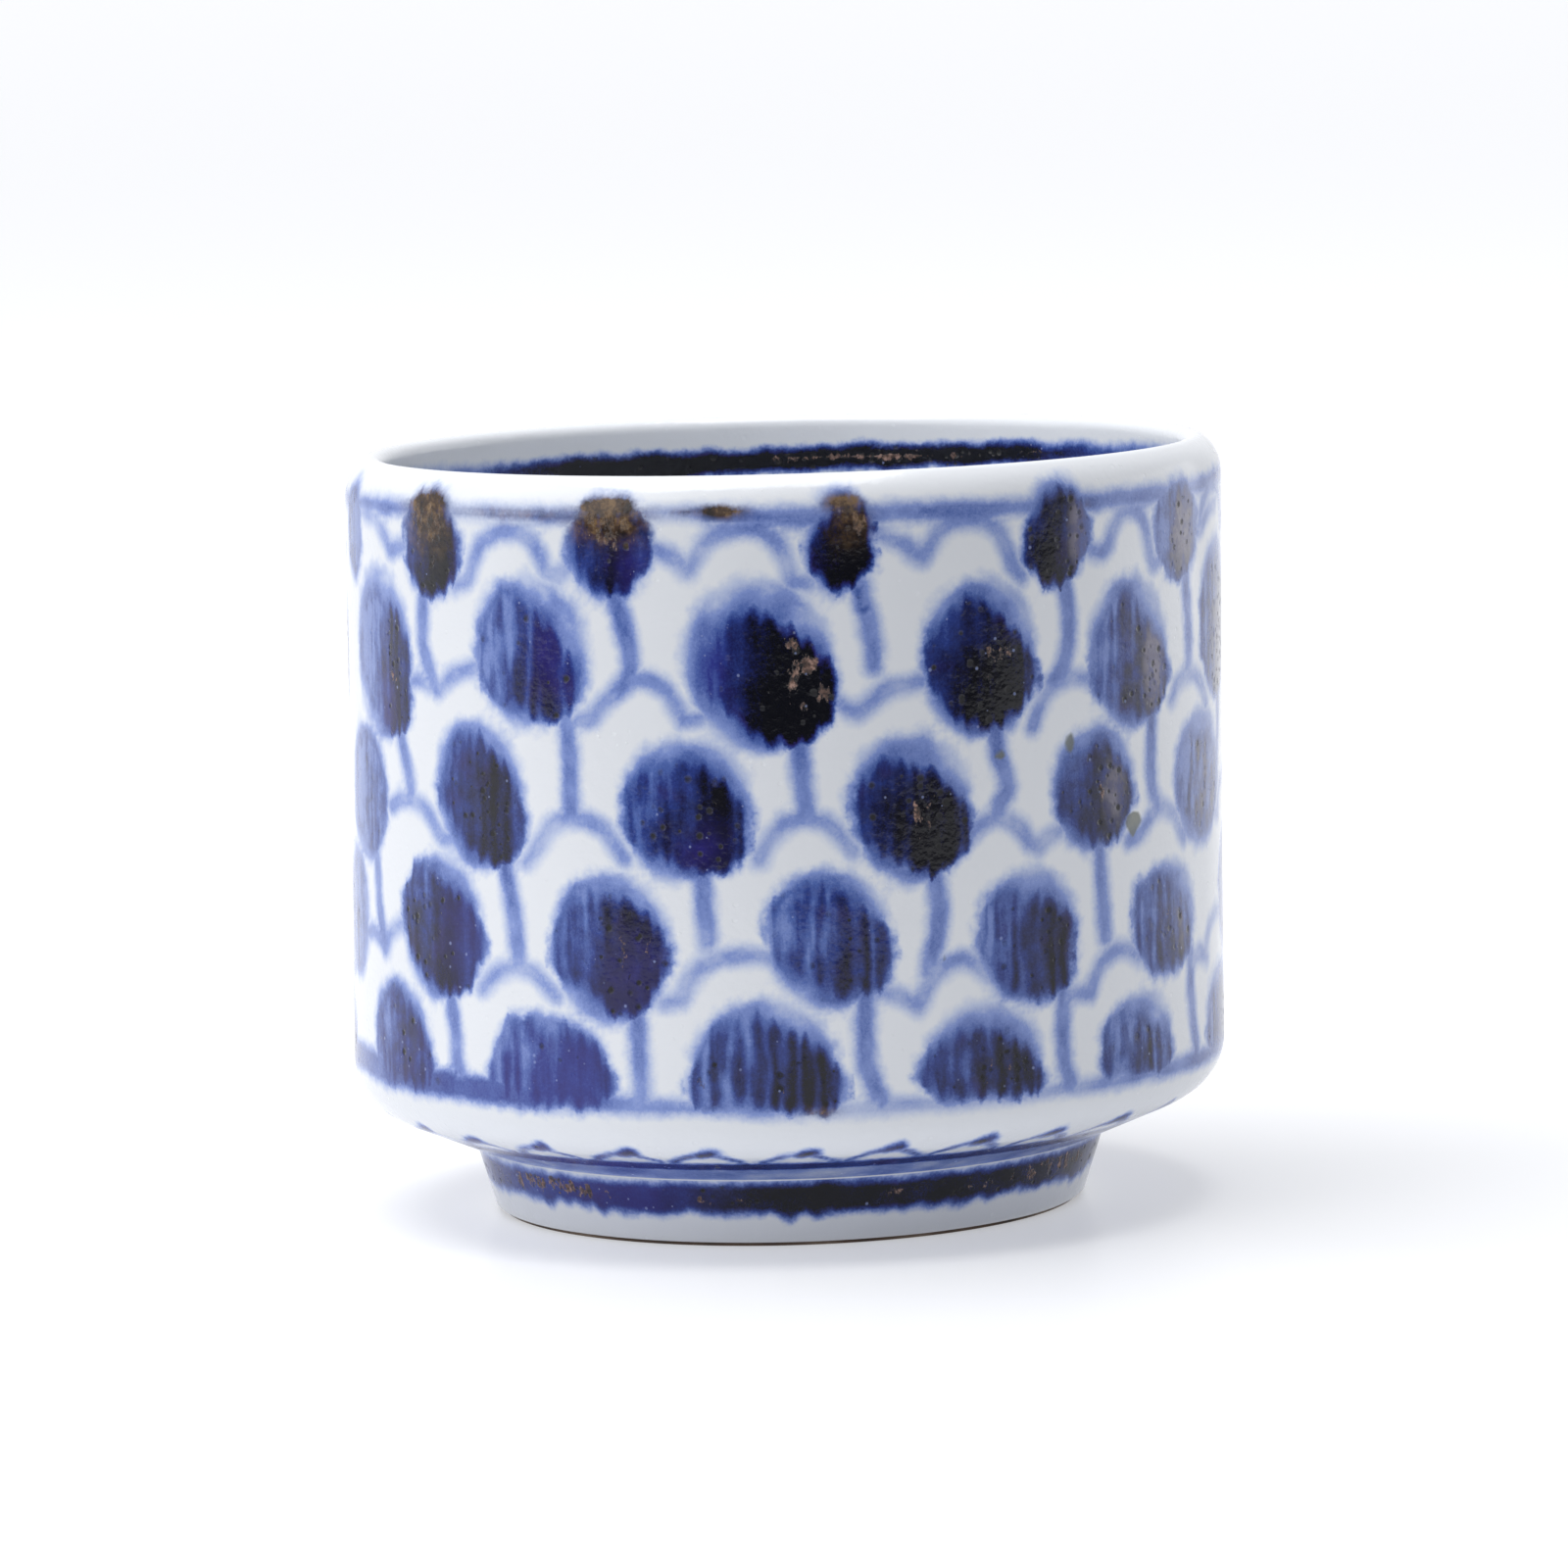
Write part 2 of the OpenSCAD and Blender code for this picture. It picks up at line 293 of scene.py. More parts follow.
def build_wheel():
    tree, given = new_group("Geometry", "wheel", {
        "Section": "Geometry", "Columns": 96, "Unevenness": 0.0, "Lean": 0.0, "Material": "Material"},
        ["Piece"], "Geometry")
    columns = given["Columns"]
    size = tree.put("GeometryNodeAttributeDomainSize", {0: given["Section"]}, component="MESH")
    rows = size.outputs["Point Count"]
    grid = tree.put("GeometryNodeMeshGrid", {"Vertices X": tree.plus(columns, 1), "Vertices Y": rows})
    index = tree.put("GeometryNodeInputIndex").outputs[0]
    row = tree.maths("MODULO", index, rows)
    column = tree.maths("FLOOR", tree.maths("DIVIDE", tree.plus(index, 0.5), rows))
    sample = tree.put("GeometryNodeSampleIndex", {"Geometry": given["Section"], "Index": row},
                      data_type="FLOAT_VECTOR", domain="POINT")
    tree.fill(sample.inputs["Value"], tree.put("GeometryNodeInputPosition").outputs[0])
    point = tree.put("ShaderNodeSeparateXYZ", {0: sample.outputs[0]}).outputs
    radius, height = point["X"], point["Z"]
    turn = tree.times(tree.maths("DIVIDE", column, columns), 2 * math.pi)
    sine, cosine = tree.maths("SINE", turn), tree.maths("COSINE", turn)
    tree.where = tree.put("ShaderNodeCombineXYZ", {
        "X": sine, "Y": cosine, "Z": tree.times(height, 24.0)}).outputs[0]
    swell = tree.times(tree.about(tree.noise(1.3)), given["Unevenness"])
    near_axis = tree.times(radius, 100.0, clamp=True)
    radius = tree.plus(radius, tree.times(swell, near_axis))
    placed = tree.put("ShaderNodeCombineXYZ", {
        "X": tree.plus(tree.times(sine, radius), tree.times(height, given["Lean"])),
        "Y": tree.times(cosine, radius, -1.0), "Z": height})
    stored = tree.put("GeometryNodeStoreNamedAttribute", {
        "Geometry": grid.outputs["Mesh"], "Name": "row", "Value": row}, data_type="FLOAT", domain="POINT")
    moved = tree.put("GeometryNodeSetPosition", {"Geometry": stored.outputs[0], "Position": placed.outputs[0]})
    merged = tree.put("GeometryNodeMergeByDistance", {"Geometry": moved.outputs[0], "Distance": MERGE_DISTANCE})
    smooth = tree.put("GeometryNodeSetShadeSmooth", {"Geometry": merged.outputs[0]})
    return close_geometry(tree, smooth.outputs[0], given["Material"])


def run_group(group, mesh, name, values):
    """Runs a geometry group on a mesh, its inputs set by identifier, and keeps the result as a plain object."""
    helper = bpy.data.objects.new(name, mesh)
    modifier = helper.modifiers.new(name, "NODES")
    modifier.node_group = group
    for item in group.interface.items_tree:
        if item.item_type == "SOCKET" and item.in_out == "INPUT" and item.name in values:
            modifier[item.identifier] = values[item.name]
    scene.collection.objects.link(helper)
    bpy.context.view_layer.update()
    evaluated = helper.evaluated_get(bpy.context.evaluated_depsgraph_get())
    result = bpy.data.meshes.new_from_object(evaluated)
    bpy.data.objects.remove(helper)
    bpy.data.meshes.remove(mesh)
    result.name = name
    piece = bpy.data.objects.new(name, result)
    scene.collection.objects.link(piece)
    return piece


def turn_outwards(mesh):
    """Flips every face if the mesh's signed volume says that they point inwards."""
    mesh.calc_loop_triangles()
    corners = np.empty(len(mesh.vertices) * 3)
    mesh.vertices.foreach_get("co", corners)
    corners = corners.reshape(-1, 3)
    triangles = np.empty(len(mesh.loop_triangles) * 3, dtype=np.int32)
    mesh.loop_triangles.foreach_get("vertices", triangles)
    a, b, c = (corners[triangles[i::3]] for i in range(3))
    volume = float(np.einsum("ij,ij->i", a, np.cross(b, c)).sum()) / 6
    if volume < 0:
        mesh.flip_normals()
    return abs(volume)


wheel = build_wheel()


def throw(name, points, columns, material, unevenness=0.0, lean=0.0):
    """Throws one piece from its section, given in millimetres."""
    mesh = bpy.data.meshes.new(name + "_section")
    mesh.from_pydata([(r * MM, 0, z * MM) for r, z in points], [(i, i + 1) for i in range(len(points) - 1)], [])
    piece = run_group(wheel, mesh, name, {
        "Columns": columns, "Unevenness": unevenness, "Lean": lean, "Material": material})
    volume = turn_outwards(piece.data)
    print(name, "volume", round(volume * 1e6, 2), "cm3, faces", len(piece.data.polygons))
    return piece


# %% [markdown]
# ## Effects that several finishes share
# Colour under a glaze has no sharp edge: it soaks outwards as the glaze melts. The first group turns a
# distance in millimetres into a soft, slightly ragged mask. The second scatters small round specks, which
# serve as pinholes, as bubbles and as dots in the clay. The third is the skin of the glaze, a faint orange peel.

# %% Shared effects


def build_soaked_edge():
    tree, given = new_group("Shader", "soaked_edge", {
        "Gap": 1.0, "Softness": 0.3, "Waver": 0.2, "Fray": 0.1, "Vector": "Vector"}, ["Mask"])
    tree.where = given["Vector"]
    waver = tree.times(tree.about(tree.noise(0.9)), given["Waver"])
    fray = tree.times(tree.about(tree.noise(4.5, 3.0)), given["Fray"])
    soft = given["Softness"]
    mask = tree.span(tree.plus(given["Gap"], waver, fray), soft, tree.times(soft, -1.0), 0.0, 1.0,
                     interpolation_type="SMOOTHSTEP")
    tree.put("NodeGroupOutput", {0: mask})
    return tree.data


def build_specks():
    tree, given = new_group("Shader", "specks", {
        "Spacing": 1.0, "Size": 0.2, "Share": 0.5, "Vector": "Vector"}, ["Mask"])
    scaled = tree.vector("SCALE", {0: given["Vector"], 3: tree.maths("DIVIDE", 1.0, given["Spacing"])})
    cells = tree.put("ShaderNodeTexVoronoi", {"Vector": scaled, "Scale": 1.0, "Randomness": 1.0}).outputs
    pick = tree.put("ShaderNodeSeparateColor", {0: cells["Color"]}).outputs
    chosen = tree.maths("LESS_THAN", pick[0], given["Share"])
    reach = tree.times(given["Size"], tree.plus(pick[1], 0.3))
    inside = tree.span(cells["Distance"], reach, tree.times(reach, 0.5), 0.0, 1.0)
    tree.put("NodeGroupOutput", {0: tree.times(inside, chosen)})
    return tree.data


def build_glaze_skin():
    tree, given = new_group("Shader", "glaze_skin", {"Peel": 0.5, "Gloss": 0.12, "Vector": "Vector"},
                            ["Height", "Roughness"])
    tree.where = given["Vector"]
    slow, fast = tree.noise(0.35, 1.0), tree.noise(2.2)
    pores = tree.use(specks, spacing=1.1, size=0.16, share=0.55)[0]
    height = tree.plus(tree.times(slow, 0.8), tree.times(fast, given["Peel"]), tree.times(pores, -0.35))
    rough = tree.plus(given["Gloss"], tree.times(fast, 0.08), tree.times(pores, 0.2))
    tree.put("NodeGroupOutput", {0: height, 1: rough})
    return tree.data


soaked_edge = build_soaked_edge()
specks = build_specks()
glaze_skin = build_glaze_skin()


def new_material(name):
    """A material and its tree, which reads places in millimetres."""
    material = bpy.data.materials.new(name)
    material.use_nodes = True
    tree = Tree(material.node_tree)
    place = tree.put("ShaderNodeTexCoord").outputs["Object"]
    tree.where = tree.vector("SCALE", {0: place, 3: 1 / MM})
    return material, tree


def dress(tree, inputs, relief=None, strength=0.0, depth=0.0):
    """Fills the material's shader. The relief's full depth is given in millimetres."""
    shader = tree.data.nodes["Principled BSDF"]
    if relief:
        bump = tree.put("ShaderNodeBump", {"Height": relief, "Strength": strength, "Distance": depth * MM})
        inputs = {**inputs, "Normal": bump.outputs[0]}
    for name, value in inputs.items():
        tree.fill(shader.inputs[name], value)


print("shared effects:", [g.name for g in (soaked_edge, specks, glaze_skin)])

# %% [markdown]
# ## Painted porcelain
# The finish reads thirteen values from the mesh: how far each point is from the wash, the strokes and the
# thin lines, how much colour each of these carries, which stroke the point lies on and how far the strokes
# there ran together, and how much iron, film with painted sheen, violet, ochre and blot there is. From these it
# works out one number, the amount of cobalt, and one ramp turns that into colour: white, pale wash, blue, navy
# and nearly black, as thin and thick cobalt fire. Over that go the tones of the fire: violet where the cobalt
# boiled, a slate film, brown crusts and ochre where iron came up, pinholes and bubbles. Where the film value
# passes 1, a pale painted sheen, a reflection painted into the colour, covers the slate. Last comes the skin of
# the glaze, rough on the crusts and smooth elsewhere.

# %% Painted porcelain
# Amount of cobalt and its fired colour
COBALT = [
    (0.00, (228, 231, 236)),
    (0.14, (190, 201, 228)),
    (0.30, (130, 150, 208)),
    (0.46, (80, 104, 172)),
    (0.62, (43, 62, 134)),
    (0.80, (24, 33, 88)),
    (0.92, (11, 14, 46)),
    (1.00, (5, 6, 15)),
]
SLATE = [(0.4, (92, 96, 124)), (0.62, (47, 49, 71)), (0.9, (15, 14, 23))]
CRUST_BROWN = [(0.36, (26, 20, 22)), (0.46, (74, 56, 50)), (0.54, (116, 90, 80)), (0.64, (166, 134, 122))]
OCHRE_RUST = [(0.36, (34, 26, 23)), (0.5, (74, 56, 42)), (0.62, (116, 92, 64))]
VIOLET = linear(52, 44, 138)
PLUM = linear(58, 26, 92)
# The pale grey of a painted sheen: a reflection painted into the colour of the tufts on the right of the cup
PAINTED_SHEEN = linear(122, 118, 136)
PINHOLE = linear(4, 4, 8)
BUBBLE = linear(150, 164, 214)
BLOT = linear(104, 108, 96)
LEAST_RICH = 0.36
ALONG_THE_BRUSH = (1.2, 1.2, 0.15)


def cobalt_amount(tree, cloud, grain):
    """How much cobalt lies at each point, from 0 for bare white to 1 for nearly black."""
    about, times, plus, minus = tree.about, tree.times, tree.plus, tree.minus
    fine, streak = tree.noise(12.0, 1.0), tree.noise(1.0, 2.0, ALONG_THE_BRUSH)
    wander, broken = tree.noise(1.0, 1.0, (0.55, 0.55, 0.22)), tree.noise(1.0, 1.0, (0.8, 0.8, 0.2))
    gap, load = tree.attribute("stroke_gap"), tree.attribute("load")

    # Between two strokes the colour thins, but only where they didn't run together
    phase = tree.maths("MULTIPLY_ADD", tree.attribute("stroke"), 2 * math.pi, times(about(wander), 9.0))
    between = tree.maths("MULTIPLY_ADD", tree.maths("COSINE", phase), -0.5, 0.5)
    opened = times(minus(1.0, tree.attribute("closed"), clamp=True), tree.slope(broken, 6.0, -1.9))

    # The wash: a pale oval, richer near its strokes
    edge = tree.use(soaked_edge, gap=tree.attribute("wash_gap"), softness=0.7, waver=1.4, fray=0.3)[0]
    nearness = tree.span(gap, 1.8, 0.0, 0.0, 0.22)
    wash = times(edge, tree.attribute("wash_load"), plus(0.25, nearness, times(about(cloud), 0.5)))

    # The strokes, ragged along their ends, and the thin lines
    ragged = plus(gap, times(between, 0.45), times(about(streak), 1.1), -0.1)
    strokes = tree.use(soaked_edge, gap=ragged, softness=0.6, waver=1.2, fray=0.5)[0]
    lines = tree.use(soaked_edge, gap=tree.attribute("line_gap"), softness=0.72, waver=0.7, fray=0.25)[0]
    rich = plus(load, times(between, opened, -0.36), times(about(streak), 1.2, minus(1.15, load)),
                times(about(cloud), 0.75, minus(1.4, load)))
    rich = tree.maths("SMOOTH_MAX", rich, LEAST_RICH, 0.15)
    cobalt = plus(wash, times(strokes, minus(rich, wash)))
    drawn = times(times(lines, 1.2, clamp=True), plus(tree.attribute("line_load"), times(about(cloud), 0.45)))
    cobalt = tree.maths("MAXIMUM", cobalt, drawn)
    return plus(cobalt, times(about(grain), 0.3, cobalt), times(about(fine), 0.2, cobalt), clamp=True)


def painted_porcelain():
    material, tree = new_material("painted_porcelain")
    about, times, plus, slope = tree.about, tree.times, tree.plus, tree.slope
    cloud, grain = tree.noise(0.45, 3.0), tree.noise(5.5)
    cobalt = cobalt_amount(tree, cloud, grain)
    violet, iron, slate_and_sheen = (tree.attribute(name) for name in ("violet", "iron", "film_and_sheen"))
    deep, shaded = slope(cobalt, 2.8, -1.1), slope(cobalt, 2.4, -0.75)

    # Cobalt, with violet and plum in its deep blue
    colour = tree.ramp(cobalt, COBALT)
    colour = tree.mix(times(violet, slope(cobalt, 1.4, -0.3), 0.75), colour, VIOLET)
    plum = times(slope(tree.noise(0.35), 7.0, -3.9), deep, slope(cobalt, -4.0, 4.0), 0.3)
    colour = tree.mix(plum, colour, PLUM)

    # The slate film of iron, and over it a painted sheen, a pale reflection painted into the colour, where its value
    # passes 1
    film_and_sheen = times(slate_and_sheen, shaded, slope(tree.noise(0.9, 3.0), 3.0, -0.85), 0.85)
    painted_sheen = slope(slate_and_sheen, 1.6, -1.6)
    film_and_sheen = tree.maths("MAXIMUM", film_and_sheen, times(painted_sheen, shaded, 0.8))
    slate_and_sheen_colour = tree.mix(times(painted_sheen, plus(0.5, cloud)), tree.ramp(cobalt, SLATE), PAINTED_SHEEN)
    colour = tree.mix(times(film_and_sheen, 1.0, clamp=True), colour, slate_and_sheen_colour)

    # Pinholes, most of all in film and crust, and bubbles, most of all in violet
    pits = tree.use(specks, spacing=0.6, size=0.42, share=plus(0.06, times(slate_and_sheen, 0.45), times(iron, 0.35)))[0]
    pits = times(pits, deep)
    colour = tree.mix(pits, colour, PINHOLE)
    bubbles = tree.use(specks, spacing=0.62, size=0.19, share=plus(0.15, times(violet, 0.6)))[0]
    colour = tree.mix(times(bubbles, slope(cobalt, 2.0, -0.15), 0.5), colour, BUBBLE)

    # Brown crusts, ochre on paint and the grey-green blots
    patches = plus(times(tree.noise(1.1, 4.0, (1.5, 1.5, 0.7)), 0.8), times(grain, 0.2))
    crust = plus(times(about(patches), 3.2), tree.minus(iron, 0.98))
    crust = times(times(crust, 5.0, clamp=True), tree.maths("GREATER_THAN", iron, 0.12), 0.92)
    brown = tree.ramp(plus(times(tree.noise(2.4, 3.0), 0.75), times(grain, 0.25)), CRUST_BROWN)
    colour = tree.mix(crust, colour, brown)
    rust = tree.ramp(plus(times(tree.noise(1.2, 3.0), 0.8), times(grain, 0.2)), OCHRE_RUST)
    ochre = times(tree.attribute("ochre"), slope(patches, 2.2, -0.1), slope(cobalt, 4.0, -0.3))
    colour = tree.mix(times(ochre, 1.3, clamp=True), colour, rust)
    colour = tree.mix(times(slope(tree.attribute("blot"), 5.0, -1.6), 0.85), colour, BLOT)

    skin = tree.use(glaze_skin, peel=0.45, gloss=0.09)
    rough = plus(skin["Roughness"], times(crust, 0.25), times(pits, 0.3))
    rise = plus(skin["Height"], times(crust, plus(0.5, times(grain, 2.2))), times(pits, -1.0), times(bubbles, 0.35))
    dress(tree, {"Base Color": colour, "Roughness": rough, "IOR": 1.5, "Specular IOR Level": 0.34},
          rise, strength=0.4, depth=0.1)
    return material


painted = painted_porcelain()
print("finish:", painted.name, "nodes:", len(painted.node_tree.nodes))

# %% [markdown]
# ## Throw the glazed cup
# The cup, its inside and the outside of its foot carry one unbroken glaze, so they are one piece of mesh.
# It stands for the clay, the glaze and the painted marks of the solids. It leans by a third of a
# millimetre in every twenty, as the real one does, and its wall swells by a tenth of a millimetre here and there.

# %% Glazed cup
LEAN = 0.0175
COLUMNS = 440
thrown_cup = throw("thrown_cup", section, COLUMNS, painted, unevenness=0.35 * MM, lean=LEAN)

# %% [markdown]
# ## Where each point lies
# To paint, we need each point's angle round the cup, with 0 at the front and plus to the right, and its
# height. The lean is taken off first. The row number, which the wheel stored, says which stretch of the
# section a point belongs to: foot, underside, outer wall, lip or inside. A point's run is its way along the
# section, which measures the underside as height measures the wall.

# %% Places on the cup
WALL_START = 9.2


def places_on(mesh):
    """Angle, height, radius and row of every point, in degrees and millimetres."""
    points = np.empty(len(mesh.vertices) * 3)
    mesh.vertices.foreach_get("co", points)
    points = points.reshape(-1, 3) / MM
    rows = np.empty(len(mesh.vertices))
    mesh.attributes["row"].data.foreach_get("value", rows)
    x = points[:, 0] - LEAN * points[:, 2]
    return (np.degrees(np.arctan2(x, -points[:, 1])), points[:, 2], np.hypot(x, points[:, 1]),
            np.round(rows).astype(int))


angle, height, radius, row = places_on(thrown_cup.data)
outline = np.array(section)
along = np.concatenate([[0], np.cumsum(np.hypot(*np.diff(outline, axis=0).T))])
run = along[row]
peak = int(outline[:, 1].argmax())
outside = (row <= peak) & (radius > FOOT_BASE_RADIUS)
inside = row > peak
on_foot = outside & (height < FOOT_HEIGHT + 0.001)
on_wall = outside & (height >= WALL_START)
print("points:", len(angle), "on the wall:", int(on_wall.sum()), "inside:", int(inside.sum()))

# %% [markdown]
# ## The tufts
# Each tuft is three to nine short strokes of a full brush, laid side by side in a pale wash that shows round
# them as a halo. The rows are offset, so a tuft stands over the gap below. Those on the painted side are set
# down stroke by stroke, as a painter would: each stroke has its angle, its lower and upper end and how much
# colour the brush still held. A tuft also has the oval of its wash, and says how far its strokes ran
# together. Round the back the rows go on at their own spacing by a rule, each tuft a little different, from a
# fixed seed.

